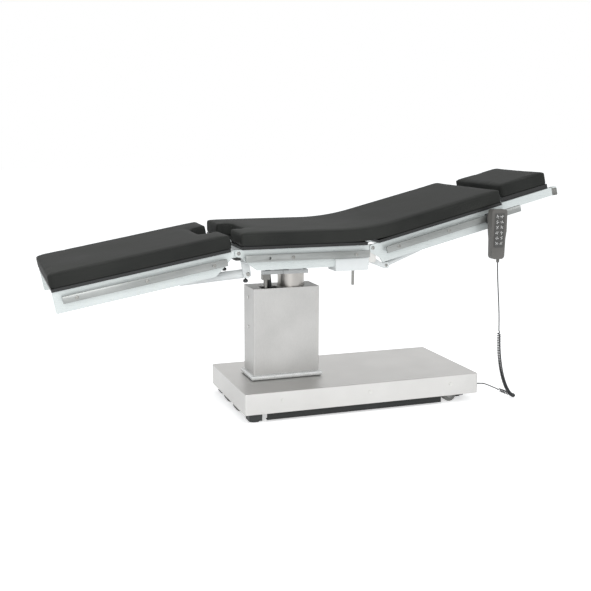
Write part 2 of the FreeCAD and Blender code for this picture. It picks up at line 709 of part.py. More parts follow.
def seat():
    x, z = "lift_axis_x", "tilt_axis_high"
    beam_top = "hinge_high + frame_top - 3"
    parts = []
    starts = {"foot": x + " - block_half_long - stub_washer - bearing_thick",
              "head": x + " + block_half_long + bearing_gap + stub_washer"}
    low = z + " - hanger_round"
    for end, start in starts.items():
        hanger = plate("hanger_" + end, "YZ",
                       [("-hanger_round - 2", "cross_beam_bottom"), ("-hanger_round", low),
                        ("hanger_round", low), ("hanger_round + 2", "cross_beam_bottom")],
                       (start, start + " + bearing_thick"), [((1, 2), "hanger_round - 2")],
                       holes=[(0, z, "tilt_pin_round + running_gap")])
        beam = box("seat_beam_" + end, (start + " - 11", start + " - 11 + cross_beam_wide"),
                   ("-side_inner", "side_inner"), ("cross_beam_bottom", beam_top))
        parts += [hanger, beam]
    for end in ("foot", "head"):
        tube_x = end + "_tube_x"
        parts.append(box("seat_tube_" + end, (tube_x + " - end_tube / 2", tube_x + " + end_tube / 2"),
                         ("-side_inner", "side_inner"), ("hinge_high - end_tube_drop", "hinge_high - end_tube_drop + end_tube")))
    lug_out = "-gas_y - gas_lug_out - lug_thick"
    gas_lug = plate("gas_lug", "XZ",
                    [("foot_tube_x - end_tube / 2", "hinge_high - end_tube_drop"),
                     ("gas_seat_x - 15", "gas_seat_z - 14"), ("gas_seat_x + 15", "gas_seat_z - 14"),
                     ("foot_tube_x + end_tube / 2", "hinge_high - end_tube_drop")],
                    (lug_out, lug_out + " + lug_thick"), [((1, 2), 13)])
    gas_pin = rod("gas_pin", "y", ("gas_seat_x", lug_out, "gas_seat_z"), "gas_pin_round",
                  "gas_lug_out + lug_thick + 10")
    parts += pair(gas_lug) + pair(gas_pin)
    arm_out = "-back_gas_y - back_lug_out - lug_thick"
    low, high = "back_gas_seat_z - 12", "back_gas_seat_z + 12"
    arm = plate("back_arm", "XZ",
                [("head_tube_x - end_tube / 2", "hinge_high - end_tube_drop + 2"), ("back_gas_seat_x - 8", low),
                 ("back_gas_seat_x + 13", low), ("back_gas_seat_x + 13", high), ("back_gas_seat_x - 20", high),
                 ("head_tube_x + end_tube / 2", "hinge_high - end_tube_drop + end_tube - 4")],
                (arm_out, arm_out + " + lug_thick"), [((2, 3), 8)])
    arm_pin = rod("back_arm_pin", "y", ("back_gas_seat_x", arm_out, "back_gas_seat_z"), "gas_pin_round",
                  "back_lug_out + lug_thick + 10")
    parts += pair(arm) + pair(arm_pin)
    node("seat_frame", "table", *parts)

    leg, back = "-leg_hinge_out", "back_hinge_out"
    foot_end = leg + " - knuckle_round"
    outline = [(foot_end, "hinge_high + frame_top"), (foot_end, "hinge_high - knuckle_round"),
               (leg + " + 11", "hinge_high - knuckle_round - 2"), (leg + " + 28", "hinge_high - 34"),
               (leg + " + 68", "hinge_high - frame_deep"), (back + " - 15", "hinge_high - frame_deep"),
               (back + " - 15", "hinge_high + frame_top")]
    side = plate("seat_side", "XZ", outline, ("-side_inner - side_thick", "-side_inner"),
                 [((0, 1), "knuckle_round - 0.5")], holes=[(leg, "hinge_high", "hinge_pin_round")])
    node("seat_side_plates", "table", *pair(side))
    block = plate("hinge_block", "XZ",
                  [(back + " - 26", "hinge_high - 56"), (back + " + 18", "hinge_high - 56"),
                   (back + " + 14", "hinge_high + 12"), (back + " - 14", "hinge_high + 12"),
                   (back + " - 26", "hinge_high - 20")],
                  ("-side_inner", "2 - side_inner + side_thick"), [((1,), 8), ((2, 3), 10)],
                  holes=[(back, "hinge_high", "hinge_pin_round")])
    node("seat_hinge_blocks", "table", *pair(block))
    pins = []
    for end, where in (("leg", leg), ("back", back)):
        pins.append(rod("hinge_pin_" + end, "y", (where, "-side_inner - side_thick - 3", "hinge_high"),
                        "hinge_pin_round", "side_thick + 14"))
    node("hinge_pins", "table", *pair(pins[0]), *pair(pins[1]))
    rails("seat", "table", "-seat_rail_foot", "seat_rail_head", "hinge_high - rail_below",
          ["-45", "202"], ["-133"])

    low, high = "hinge_high + frame_top", "hinge_high + frame_top + board_thick"
    foot, head = "-seat_pad_foot", "back_hinge_out - pad_from_back_hinge"
    board = plate("seat_board_blank", "XY",
                  notched(foot + " + 3", "back_hinge_out - board_from_hinge", "pad_half_wide - 4",
                          "cutout_half - cutout_board_gap", "cutout_deep - 3"), (low, high), [((5, 6), 30)])
    node("seat_board", "table", board)
    pad = plate("seat_pad_blank", "XY",
                notched(foot, head, "pad_half_wide", "cutout_half", "cutout_deep"),
                (high + " + pad_gap", high + " + pad_gap + pad_thick"),
                [((0, 7), 9), ((5, 6), 36)], "pad_edge_round")
    node("seat_pad", "table", pad)
    half = ("1 - pad_half_wide", "pad_half_wide - 1")
    seat_half = box("bend_seat", (head + " + pad_gap", "back_hinge_out"), half,
                    (high + " + pad_gap", high + " + pad_gap + pad_thick - 1"))
    low, high = "frame_top + board_thick + 2 * pad_gap", "frame_top + board_thick + pad_gap + pad_thick - 1"
    back_half = box("bend_back", (0, "pad_from_back_hinge - pad_gap"), half, (low, high))
    turned = doc.addObject("Part::Compound", "bend_back_turned")
    turned.Links = [back_half]
    turned.Placement = FreeCAD.Placement(FreeCAD.Vector(), FreeCAD.Rotation(FreeCAD.Vector(0, -1, 0), 1))
    move(turned, "back_hinge_out", 0, "hinge_high")
    turned.setExpression("Placement.Rotation.Angle", bound("back_rest_tilt"))
    node("pad_bend", "table", fuse("bend_weld", seat_half, turned))

    near, far = "-actuator_near", "-actuator_far"
    bottom = box("actuator_bottom", ("actuator_from", "actuator_to"), (far, near),
                 ("actuator_bottom", "actuator_bottom + 15"))
    leaf = box("actuator_leaf", ("actuator_from", "actuator_to"), (far, "-side_inner - side_thick"),
               ("actuator_bottom", "actuator_top"))
    pin = rod("actuator_pin", "z", ("actuator_pin_x", "-side_inner - 10", "actuator_pin_low"),
              "actuator_pin_round", "actuator_bottom - actuator_pin_low")
    strap = box("actuator_strap", ("head_tube_x - 13", "head_tube_x + 13"), (near + " - 30", near),
                ("actuator_bottom + 15", "hinge_high - end_tube_drop"))
    node("actuator_cover", "table", fuse("actuator_weld", bottom, leaf, pin, strap))


def notched(mouth, back, half, notch, deep):
    """Outline in plan of a board with a round-cornered notch in the middle of its mouth edge."""
    return [(mouth, "-(%s)" % half), (back, "-(%s)" % half), (back, half), (mouth, half),
            (mouth, notch), ("%s + %s" % (mouth, deep), "(%s) - 22" % notch),
            ("%s + %s" % (mouth, deep), "22 - (%s)" % notch), (mouth, "-(%s)" % notch)]


def rails(name, section, start, end, centre, screws, holes):
    """A pair of accessory rails on spacers, with a socket screw at each spacer."""
    bar = plate(name + "_rail_bar", "XZ",
                rectangle(start, end, centre + " - rail_high / 2", centre + " + rail_high / 2"),
                ("-rail_near - rail_thick", "-rail_near"),
                holes=[(x, centre, "rail_hole_round") for x in holes])
    parts = pair(bar)
    for index, x in enumerate(screws + holes):
        spacer = rod("%s_spacer_%d" % (name, index), "y", (x, "-rail_near", centre), "spacer_round",
                     "rail_near - side_inner - side_thick")
        parts += pair(spacer)
    for index, x in enumerate(screws):
        screw = rod("%s_screw_%d" % (name, index), "y", (x, "-rail_near - rail_thick - 2", centre),
                    "screw_round", 2)
        parts += pair(screw)
    node(name + "_rails", section, *parts)


def leg():
    inner = "side_inner - slide_gap"
    outer = "side_inner + side_thick"
    end = "-leg_plate_end"
    outline = [("-knuckle_round - hinge_gap", "frame_top"), (end, "frame_top"), (end, "-frame_deep"),
               ("-96", "-frame_deep"), ("-24", "-10"), ("-knuckle_round - hinge_gap", "0")]
    side = plate("leg_side", "XZ", outline, ("-(%s)" % outer, "-(%s)" % inner), [((2,), 6), ((4,), 8)])
    ear = plate("leg_ear", "XZ", rectangle("-80", "knuckle_round", "-knuckle_round", "knuckle_round"),
                ("-(%s)" % inner, "10 - (%s)" % inner), [((1, 2), "knuckle_round - 0.5")],
                holes=[(0, 0, "hinge_pin_round + running_gap")])
    parts = pair(side) + pair(ear)
    span = ("-(%s)" % inner, inner)
    for name, x in (("hinge", "-100"), ("gas", "gas_leg_x - 15"), ("foot", "30 - leg_plate_end")):
        parts.append(box("leg_bar_" + name, (x, x + " + frame_bar"), span,
                         ("frame_top - frame_bar", "frame_top")))
    for name, start in (("outer", "-gas_y - cheek_in - cheek_thick"), ("inner", "-gas_y + cheek_in")):
        cheek = plate("leg_cheek_" + name, "XZ",
                      [("gas_leg_x - 16", "gas_leg_z - 14"), ("gas_leg_x + 16", "gas_leg_z - 14"),
                       ("gas_leg_x + 24", "frame_top - frame_bar"), ("gas_leg_x - 24", "frame_top - frame_bar")],
                      (start, start + " + cheek_thick"), [((0, 1), 12)])
        parts += pair(cheek)
    node("leg_frame", "leg", *parts)
    rails("leg", "leg", "-leg_rail_to", "-leg_rail_from", "-rail_below", ["-99", "-340", "-581"], [])
    low, high = "frame_top", "frame_top + board_thick"
    board = plate("leg_board_blank", "XY",
                  notched("-leg_pad_from - 8", "6 - leg_pad_to", "pad_half_wide - 4",
                          "leg_cutout_half - cutout_board_gap", "3 - leg_cutout_deep"),
                  (low, high), [((5, 6), 30)])
    node("leg_board", "leg", board)
    pad = plate("leg_pad_blank", "XY",
                notched("-leg_pad_from", "-leg_pad_to", "pad_half_wide", "leg_cutout_half",
                        "-leg_cutout_deep"),
                (high + " + pad_gap", high + " + pad_gap + pad_thick"),
                [((0, 3), 9), ((1, 2), 22), ((5, 6), 40)], "pad_edge_round")
    node("leg_pad", "leg", pad)


def world_from(section, x, z):
    """Texts for the table x and z of a point given in the leg or back section."""
    places = {"leg": ("-leg_hinge_out", "leg_rest_tilt"), "back": ("back_hinge_out", "back_rest_tilt")}
    origin, tilt = places[section]
    turn = "%s * 1deg" % tilt
    return ("%s + (%s) * cos(%s) - (%s) * sin(%s)" % (origin, x, turn, z, turn),
            "hinge_high + (%s) * sin(%s) + (%s) * cos(%s)" % (x, turn, z, turn))


def gas_struts():
    for label, section, fixed, far, y, sizes, eye_half in (
            ("leg", "leg", ("gas_seat_x", "gas_seat_z"), ("gas_leg_x", "gas_leg_z"), "gas_y",
             ("gas_round", "gas_rod_round", "gas_long", "gas_rod_long"), "7.4"),
            ("back", "back", ("back_gas_seat_x", "back_gas_seat_z"), ("back_gas_x", "back_gas_z"),
             "back_gas_y", ("back_gas_round", "back_gas_rod_round", "back_gas_long", "back_gas_rod_long"), "7")):
        outer, thin, long, thin_long = sizes
        x, z = world_from(section, *far)
        start, end = (fixed[0], "-" + y, fixed[1]), (x, "-" + y, z)
        barrel = sleeve(label + "_gas_barrel", start, end, outer, thin + " + slide_gap", long, "eye_round",
                        eye_half, "gas_pin_round + running_gap")
        bar = plunger(label + "_gas_bar", start, end, thin, thin_long, "9", eye_half, "4")
        node(label + "_strut_cylinders", "table", *pair(barrel))
        node(label + "_strut_rods", "table", *pair(bar))


def back():
    inner = "side_inner + slide_gap"
    outer = "side_inner + side_thick"
    end = "back_plate_end"
    outline = [("-knuckle_round", "frame_top"), ("-knuckle_round", "-knuckle_round"),
               ("20", "-frame_deep + 20"), ("27", "-frame_deep"), (end + " - 30", "-frame_deep"),
               (end, "-frame_deep + 26"), (end, "frame_top")]
    side = plate("back_side", "XZ", outline, ("-(%s)" % outer, "-(%s)" % inner),
                 [((0, 1), "knuckle_round - 0.5"), ((3,), 4)],
                 holes=[(0, 0, "hinge_pin_round + running_gap")])
    parts = pair(side)
    span = ("-(%s)" % inner, inner)
    under_bar = "frame_top - back_bar_high"
    for name, x in (("hinge", "60"), ("gas", "back_gas_x - frame_bar / 2"), ("end", "back_plate_end - frame_bar")):
        parts.append(box("back_bar_" + name, (x, x + " + frame_bar"), span, (under_bar, "frame_top")))
    for name, start in (("outer", "-back_gas_y - cheek_in - cheek_thick"), ("inner", "-back_gas_y + cheek_in")):
        cheek = plate("back_cheek_" + name, "XZ",
                      [("back_gas_x - 16", "back_gas_z - 14"), ("back_gas_x + 16", "back_gas_z - 14"),
                       ("back_gas_x + 24", under_bar), ("back_gas_x - 24", under_bar)],
                      (start, start + " + cheek_thick"), [((0, 1), 12)])
        parts += pair(cheek)
    outer_face = "-head_bar_inner - head_bar_thick - slide_gap - head_bracket_thick"
    bracket_outline = rectangle("back_plate_end", "head_hinge_x + eye_round", "head_hinge_z - eye_round",
                                "head_hinge_z + eye_round")
    for name, start in (("outer", outer_face), ("inner", "slide_gap - head_bar_inner")):
        bracket = plate("head_bracket_" + name, "XZ", bracket_outline, (start, start + " + head_bracket_thick"),
                        [((1, 2), "eye_round - 2")], holes=[("head_hinge_x", "head_hinge_z", "head_pin_round")])
        parts += pair(bracket)
    pin = rod("head_pin", "y", ("head_hinge_x", outer_face + " - 2", "head_hinge_z"),
              "head_pin_round", "head_bar_thick + 2 * slide_gap + 2 * head_bracket_thick + 4")
    parts += pair(pin)
    node("back_frame", "back", *parts)
    rails("back", "back", "back_rail_from", "back_rail_to", "-rail_below", ["95", "310", "525"], [])
    low, high = "frame_top", "frame_top + board_thick"
    node("back_board", "back", box("back_board_blank", ("board_from_hinge", "back_pad_to - 4"),
                                   ("4 - pad_half_wide", "pad_half_wide - 4"), (low, high)))
    pad = plate("back_pad_blank", "XY",
                rectangle("pad_from_back_hinge", "back_pad_to", "-pad_half_wide", "pad_half_wide"),
                (high + " + pad_gap", high + " + pad_gap + pad_thick"), [((1, 2), 12)], "pad_edge_round")
    node("back_pad", "back", pad)
    wall = "clamp_wall"
    block = box("clamp_block", ("clamp_x", "clamp_x + clamp_long"),
                ("-rail_near - rail_thick - %s" % wall, "4 - rail_near"),
                ("-rail_below - rail_high / 2 - 8", "-rail_below + rail_high / 2 + 4"))
    groove = box("clamp_groove", ("clamp_x - 1", "clamp_x + clamp_long + 1"),
                 ("-rail_near - rail_thick", "-rail_near"),
                 ("-rail_below - rail_high / 2", "-rail_below + rail_high / 2"))
    knob = rod("clamp_knob", "z", ("clamp_x + clamp_long / 2", "-rail_near - rail_thick / 2",
                                   "-rail_below - rail_high / 2 - 26"), 9, 20)
    node("handset_clamp", "back", fuse("clamp_weld", cut("clamp_cut", block, groove), knob))


def head():
    near, far = "head_bar_inner + head_bar_thick", "head_bar_inner"
    x, z, half = "head_hinge_x", "head_hinge_z", "head_bar_half_high"
    bar = plate("head_bar", "XZ", rectangle("%s - %s" % (x, half), "head_bar_to", "%s - %s" % (z, half),
                                           "%s + %s" % (z, half)),
                ("-(%s)" % near, "-" + far), [((0, 3), half + " - 0.5")],
                holes=[(x, z, "head_pin_round + running_gap")])
    cap = box("head_cap", ("head_bar_to", "head_bar_to + 26"), ("1 - (%s)" % near, "-1 - " + far),
              ("%s - %s + 1" % (z, half), "%s + %s - 1" % (z, half)))
    parts = pair(bar) + pair(cap)
    for name, start in (("near", x + " + 50"), ("far", "head_bar_to - 60")):
        parts.append(box("head_cross_" + name, (start, start + " + 30"), ("-" + far, far),
                         ("%s - 8" % z, "%s + %s" % (z, half))))
    node("head_frame", "back", *parts)
    low, high = "head_hinge_z + head_bar_half_high", "frame_top + board_thick"
    node("head_board", "back", box("head_board_blank", ("head_pad_from + 4", "head_pad_to - 4"),
                                   ("4 - head_pad_half", "head_pad_half - 4"), (low, high)))
    pad = plate("head_pad_blank", "XY",
                rectangle("head_pad_from", "head_pad_to", "-head_pad_half", "head_pad_half"),
                (high + " + pad_gap", high + " + pad_gap + pad_thick"),
                [((0, 1, 2, 3), 14)], "pad_edge_round")
    node("head_pad", "back", pad)


def handset():
    x, waist = "handset_x", "handset_waist"
    outline = [(x + " - handset_foot_half", "handset_bottom"),
               (x + " + handset_foot_half", "handset_bottom"),
               (x + " + handset_foot_half + 2", waist + " - 30"), (x + " + handset_half_wide", waist),
               (x + " + handset_half_wide", "handset_top"), (x + " - handset_half_wide", "handset_top"),
               (x + " - handset_half_wide", waist), (x + " - handset_foot_half - 2", waist + " - 30")]
    near = "handset_near"
    case = plate("handset_blank", "XZ", outline, ("-(%s + handset_thick)" % near, "-" + near),
                 [((0, 1), 14), ((4, 5), 10)])
    relief = rod("lead_relief", "z",
                 ("lead_x", "-(%s) - handset_thick / 2" % near, "handset_bottom - relief_long"),
                 "relief_round", "relief_long")
    hook = box("handset_hook", ("clamp_hook_x - hook_half_wide", "clamp_hook_x + hook_half_wide"),
               ("-" + near, "-rail_near - rail_thick - clamp_wall - slide_gap"),
               ("handset_top - 48", "handset_top - 20"))
    node("handset_case", "table", fuse("handset_weld", case, relief, hook))
    front = "-(%s + handset_thick + keypad_thick)" % near
    keys = plate("keypad_blank", "XZ",
                 rectangle(x + " - keypad_half_wide", x + " + keypad_half_wide",
                           "handset_bottom + keypad_from_foot", "handset_top - keypad_from_top"),
                 (front, front + " + keypad_thick"), [((0, 1, 2, 3), 5)])
    node("handset_keypad", "table", keys)


# The lead, point by point: down from the hand control, round a curly tube, up into the gland
LEAD_ROUTE = [(785, -291, 568), (785.5, -291, 548), (788, -291, 510), (793, -291, 455), (799, -291, 395),
              (803, -291, 340), (804, -291, 300)]
CURL_ROUTE = [(804, -291, 300), (805.1, -291, 256), (810, -289.5, 201), (821, -286, 148), (836, -282, 100),
              (856, -277, 58), (880, -270, 26), (905, -259, 12), (914, -243, 10.5), (900, -229, 14),
              (876, -222, 24), (850, -217, 36)]
TAIL_ROUTE = [(850, -217, 36), (828.3, -212.8, 46), (806, -204, 56), (784, -200, 60), (761, -200, 60)]


def route_points(route):
    shift = FreeCAD.Vector(SIZES["column_from_origin"], SIZES["middle_from_origin"], 0)
    return [FreeCAD.Vector(*point) + shift for point in route]


def tube(label, route, radius):
    """A soft lead: straight runs joined by tangent arcs as large as their runs allow."""
    points = route_points(route)
    edges, radii, at = [], [], points[0]
    for before, corner, after in zip(points, points[1:], points[2:]):
        way_in, way_out = (corner - before).normalize(), (after - corner).normalize()
        setback = 0.45 * min((corner - before).Length, (after - corner).Length)
        turn = way_in.getAngle(way_out)
        radii.append(setback / math.tan(turn / 2))
        start, end = corner - way_in * setback, corner + way_out * setback
        bulge = (start + end) * 0.5 - corner
        middle = corner + bulge * ((radii[-1] / math.cos(turn / 2) - radii[-1]) / bulge.Length)
        edges += [Part.LineSegment(at, start).toShape(), Part.Arc(start, middle, end).toShape()]
        at = end
    edges.append(Part.LineSegment(at, points[-1]).toShape())
    spine = Part.Wire(edges)
    ring = Part.Wire(Part.Circle(points[0], points[1] - points[0], radius).toShape())
    solid = spine.makePipeShell([ring], True, False)
    print(label, "length %.0f, radii" % spine.Length, [round(r) for r in radii],
          "volume ratio %.4f" % (solid.Volume / (math.pi * radius * radius * spine.Length)))
    part = doc.addObject("Part::Feature", label)
    part.Shape = solid
    part.Label = label
    nodes.append(part)


base_cover()
base_chassis()
base_skirts()
lock_feet()
castors()
column()
lift()
tilt_head()
tilt_strut()
seat()
leg()
back()
gas_struts()
head()
handset()
tube("handset_lead", LEAD_ROUTE, SIZES["lead_round"])
tube("handset_curl", CURL_ROUTE, SIZES["curl_round"])
tube("handset_tail", TAIL_ROUTE, SIZES["lead_round"])

doc.recompute()
failed = [o.Name for o in doc.Objects if "Invalid" in o.State or "Error" in o.State]
failed += [n.Label for n in nodes if n.Shape.isNull() or not n.Shape.isValid()]
if failed:
    raise RuntimeError("failed: " + ", ".join(failed))
os.makedirs("parts", exist_ok=True)
for part in nodes:
    part.Shape.exportStep("parts/%s.step" % part.Label)
box_all = FreeCAD.BoundBox()
for part in nodes:
    box_all.add(part.Shape.BoundBox)
print(len(nodes), "sub-parts", box_all)
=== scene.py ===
import math
import bmesh
import bpy
from mathutils import Matrix, Vector
from mathutils.bvhtree import BVHTree


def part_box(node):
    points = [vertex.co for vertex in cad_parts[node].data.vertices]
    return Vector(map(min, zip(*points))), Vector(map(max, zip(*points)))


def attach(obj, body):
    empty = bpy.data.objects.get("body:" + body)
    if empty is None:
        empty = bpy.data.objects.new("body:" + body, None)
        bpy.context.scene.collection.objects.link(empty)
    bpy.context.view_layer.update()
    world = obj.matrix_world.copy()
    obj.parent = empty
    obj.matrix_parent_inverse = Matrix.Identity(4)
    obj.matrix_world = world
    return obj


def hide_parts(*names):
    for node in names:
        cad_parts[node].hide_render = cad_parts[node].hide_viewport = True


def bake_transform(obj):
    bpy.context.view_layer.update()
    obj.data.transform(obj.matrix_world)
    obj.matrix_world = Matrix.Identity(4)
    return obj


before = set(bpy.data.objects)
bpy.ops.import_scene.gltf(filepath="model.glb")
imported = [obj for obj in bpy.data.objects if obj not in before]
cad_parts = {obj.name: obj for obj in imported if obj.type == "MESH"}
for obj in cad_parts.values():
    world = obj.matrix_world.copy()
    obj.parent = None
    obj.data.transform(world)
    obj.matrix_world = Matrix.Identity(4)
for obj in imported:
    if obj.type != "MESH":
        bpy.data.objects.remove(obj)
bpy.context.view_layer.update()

# Camera: the photograph's view of the table, from low on the near side, a little past the foot end.
# Places are in metres; the column's middle is the point that the view was worked out from.
COLUMN_X, COLUMN_Y = -0.0984, 0.0185
IMAGE_SIDE, SENSOR = 591, 36.0
FOCAL_PIXELS = 938.57
YAW, PITCH, ROLL = 0.3395, -0.1798, 0.0040
forward = Vector((math.sin(YAW) * math.cos(PITCH), math.cos(YAW) * math.cos(PITCH), math.sin(PITCH)))
level_right = Vector((math.cos(YAW), -math.sin(YAW), 0))
level_up = level_right.cross(forward)
right = level_right * math.cos(ROLL) + level_up * math.sin(ROLL)
up = level_up * math.cos(ROLL) - level_right * math.sin(ROLL)
camera = bpy.data.objects.new("camera", bpy.data.cameras.new("camera"))
bpy.context.scene.collection.objects.link(camera)
camera.matrix_world = Matrix.Translation((COLUMN_X - 1.1513, COLUMN_Y - 3.4249, 1.0880)) @ Matrix(
    (right, up, -forward)).transposed().to_4x4()
camera.data.sensor_width = SENSOR
camera.data.lens = FOCAL_PIXELS * SENSOR / IMAGE_SIDE
camera.data.clip_end = 50
bpy.context.scene.camera = camera


# Floor and light: a pale studio sweep that the camera sees as white, with one large soft box overhead
# and weaker ones to the sides, at a level where a colour looks about as it is written.
def colour(text):
    """An sRGB hex colour as linear red, green, blue and alpha."""
    parts = [int(text[i:i + 2], 16) / 255 for i in (0, 2, 4)]
    return tuple(p / 12.92 if p <= 0.04045 else ((p + 0.055) / 1.055) ** 2.4 for p in parts) + (1.0,)


def add(tree, kind, inputs=(), **settings):
    """A node with its settings; inputs are (socket, value or source socket)."""
    new = tree.nodes.new(kind)
    for name, value in settings.items():
        setattr(new, name, value)
    for name, value in dict(inputs).items():
        if isinstance(value, bpy.types.NodeSocket):
            tree.links.new(value, new.inputs[name])
        else:
            new.inputs[name].default_value = value
    return new


scene = bpy.context.scene
scene.view_settings.view_transform = "Standard"
world = bpy.data.worlds.new("studio")
scene.world = world
world.use_nodes = True
world_tree = world.node_tree
world_tree.nodes.clear()
soft = add(world_tree, "ShaderNodeBackground", {"Color": colour("E9ECEE"), "Strength": 0.75})
white = add(world_tree, "ShaderNodeBackground", {"Color": (1, 1, 1, 1), "Strength": 1.0})
path = add(world_tree, "ShaderNodeLightPath")
seen = add(world_tree, "ShaderNodeMath",
           {0: path.outputs["Is Camera Ray"], 1: path.outputs["Is Glossy Ray"]}, operation="MAXIMUM")
mix = add(world_tree, "ShaderNodeMixShader", {0: seen.outputs[0], 1: soft.outputs[0], 2: white.outputs[0]})
add(world_tree, "ShaderNodeOutputWorld", {"Surface": mix.outputs[0]})

floor_mesh = bpy.data.meshes.new("studio_floor")
floor_mesh.from_pydata([(-20, -20, 0), (20, -20, 0), (20, 20, 0), (-20, 20, 0)], [], [(0, 1, 2, 3)])
floor = bpy.data.objects.new("studio_floor", floor_mesh)
scene.collection.objects.link(floor)
floor_material = bpy.data.materials.new("pale_studio_floor")
floor_material.use_nodes = True
floor_tree = floor_material.node_tree
floor_tree.nodes.clear()
paint = add(floor_tree, "ShaderNodeBsdfDiffuse", {"Color": colour("F4F4F4")})
glow = add(floor_tree, "ShaderNodeEmission", {"Color": (1, 1, 1, 1), "Strength": 0.55})
both = add(floor_tree, "ShaderNodeAddShader", {0: paint.outputs[0], 1: glow.outputs[0]})
floor_path = add(floor_tree, "ShaderNodeLightPath")
shown = add(floor_tree, "ShaderNodeMath",
            {0: floor_path.outputs["Is Camera Ray"], 1: floor_path.outputs["Is Glossy Ray"]},
            operation="MAXIMUM")
floor_mix = add(floor_tree, "ShaderNodeMixShader",
                {0: shown.outputs[0], 1: paint.outputs[0], 2: both.outputs[0]})
add(floor_tree, "ShaderNodeOutputMaterial", {"Surface": floor_mix.outputs[0]})
floor_mesh.materials.append(floor_material)


def lamp(name, place, aim, size, watts):
    light = bpy.data.lights.new(name, "AREA")
    light.size = size
    light.energy = watts
    holder = bpy.data.objects.new(name, light)
    holder.matrix_world = Matrix.Translation(place) @ (
        Vector(aim) - Vector(place)).to_track_quat("-Z", "Y").to_matrix().to_4x4()
    scene.collection.objects.link(holder)


lamp("overhead_box", (-0.3, -0.6, 3.2), (0, 0, 0.5), 2.6, 26)
lamp("near_box", (-1.6, -3.2, 1.6), (0, 0, 0.5), 1.8, 48)
lamp("head_box", (3.0, -1.6, 1.9), (0, 0, 0.6), 1.6, 20)


# Base and column: folded stainless sheet with a fine brushed grain, along the table on the base and
# upright on the column. The grain is drawn 0.7 mm wide, coarser than real, so that it shows.
def finish(material, *names):
    for name in names:
        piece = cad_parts[name]
        piece.data.materials.clear()
        piece.data.materials.append(material)


def brushed(name, light, shade, grain_mm, stretch, rough, metal=1.0, cloud_mm=180):
    """Brushed metal: grain_mm is the width of a scratch, stretch how long it is on each axis."""
    material = bpy.data.materials.new(name)
    material.use_nodes = True
    tree = material.node_tree
    shader = tree.nodes["Principled BSDF"]
    shader.inputs["Metallic"].default_value = metal
    place = add(tree, "ShaderNodeTexCoord").outputs["Object"]
    size = 1000 / grain_mm
    laid = add(tree, "ShaderNodeMapping", {"Vector": place, "Scale": [size / s for s in stretch]})
    scratch = add(tree, "ShaderNodeTexNoise", {"Vector": laid.outputs[0], "Scale": 1.0, "Detail": 3.0})
    cloud = add(tree, "ShaderNodeTexNoise", {"Vector": place, "Scale": 1000 / cloud_mm, "Detail": 2.0})
    both = add(tree, "ShaderNodeMath", {0: scratch.outputs[0], 1: cloud.outputs[0]}, operation="ADD")
    tone = add(tree, "ShaderNodeMapRange", {0: both.outputs[0], 1: 0.7, 2: 1.3})
    paint = add(tree, "ShaderNodeMix", {0: tone.outputs[0], 6: colour(shade), 7: colour(light)},
                data_type="RGBA")
    tree.links.new(paint.outputs[2], shader.inputs["Base Color"])
    gloss = add(tree, "ShaderNodeMapRange",
                {0: scratch.outputs[0], 1: 0.3, 2: 0.7, 3: rough - 0.05, 4: rough + 0.08})
    tree.links.new(gloss.outputs[0], shader.inputs["Roughness"])
    relief = add(tree, "ShaderNodeBump",
                 {"Height": scratch.outputs[0], "Strength": 0.15, "Distance": 0.00008})
    tree.links.new(relief.outputs[0], shader.inputs["Normal"])
    return material


# How long a scratch is against its width, on each axis. Brushed sheet has a broad soft highlight, drawn
# out across the scratches; the column's is duller and lies round it.
ALONG, ACROSS, UPRIGHT, ROUND_IT, EVEN = (60, 1, 1), (1, 60, 1), (1, 1, 60), (60, 60, 1), (1, 1, 1)
base_steel = brushed("brushed_stainless_sheet", "CDCCCA", "C2C1BF", 0.7, ACROSS, 0.42)
column_steel = brushed("brushed_stainless_cover", "BFBEBC", "AFAEAC", 0.7, (1, 1, 12), 0.4, metal=0.72,
                       cloud_mm=140)
finish(base_steel, "base_cover")
finish(column_steel, "column_cover")


# Collar: a half-round lip of polished stainless with mitred corners, round the foot of the column. It
# catches a bright line along its top. The screws and hinge pins are turned from the same steel.
COLUMN_HALF_LONG, COLUMN_HALF_DEEP = 0.134, 0.065
COLLAR_WIDE, COLLAR_HIGH, COLLAR_FROM = 0.0118, 0.0218, 0.1151
COLLAR_INTO_COLUMN = 0.002
COLLAR_ROUND = [(-COLLAR_INTO_COLUMN, 0), (0, 0)] + [
    (COLLAR_WIDE * math.sin(math.pi * k / 10), COLLAR_HIGH / 2 * (1 - math.cos(math.pi * k / 10)))
    for k in range(1, 10)] + [(0, COLLAR_HIGH), (-COLLAR_INTO_COLUMN, COLLAR_HIGH)]


def object_of(name, mesh, material=None, sharp_from=None):
    """An object made from a finished bmesh, smooth up to an angle in degrees where one is given."""
    data = bpy.data.meshes.new(name)
    mesh.to_mesh(data)
    mesh.free()
    if sharp_from:
        data.shade_smooth()
        data.set_sharp_from_angle(angle=math.radians(sharp_from))
    if material:
        data.materials.append(material)
    piece = bpy.data.objects.new(name, data)
    scene.collection.objects.link(piece)
    return piece


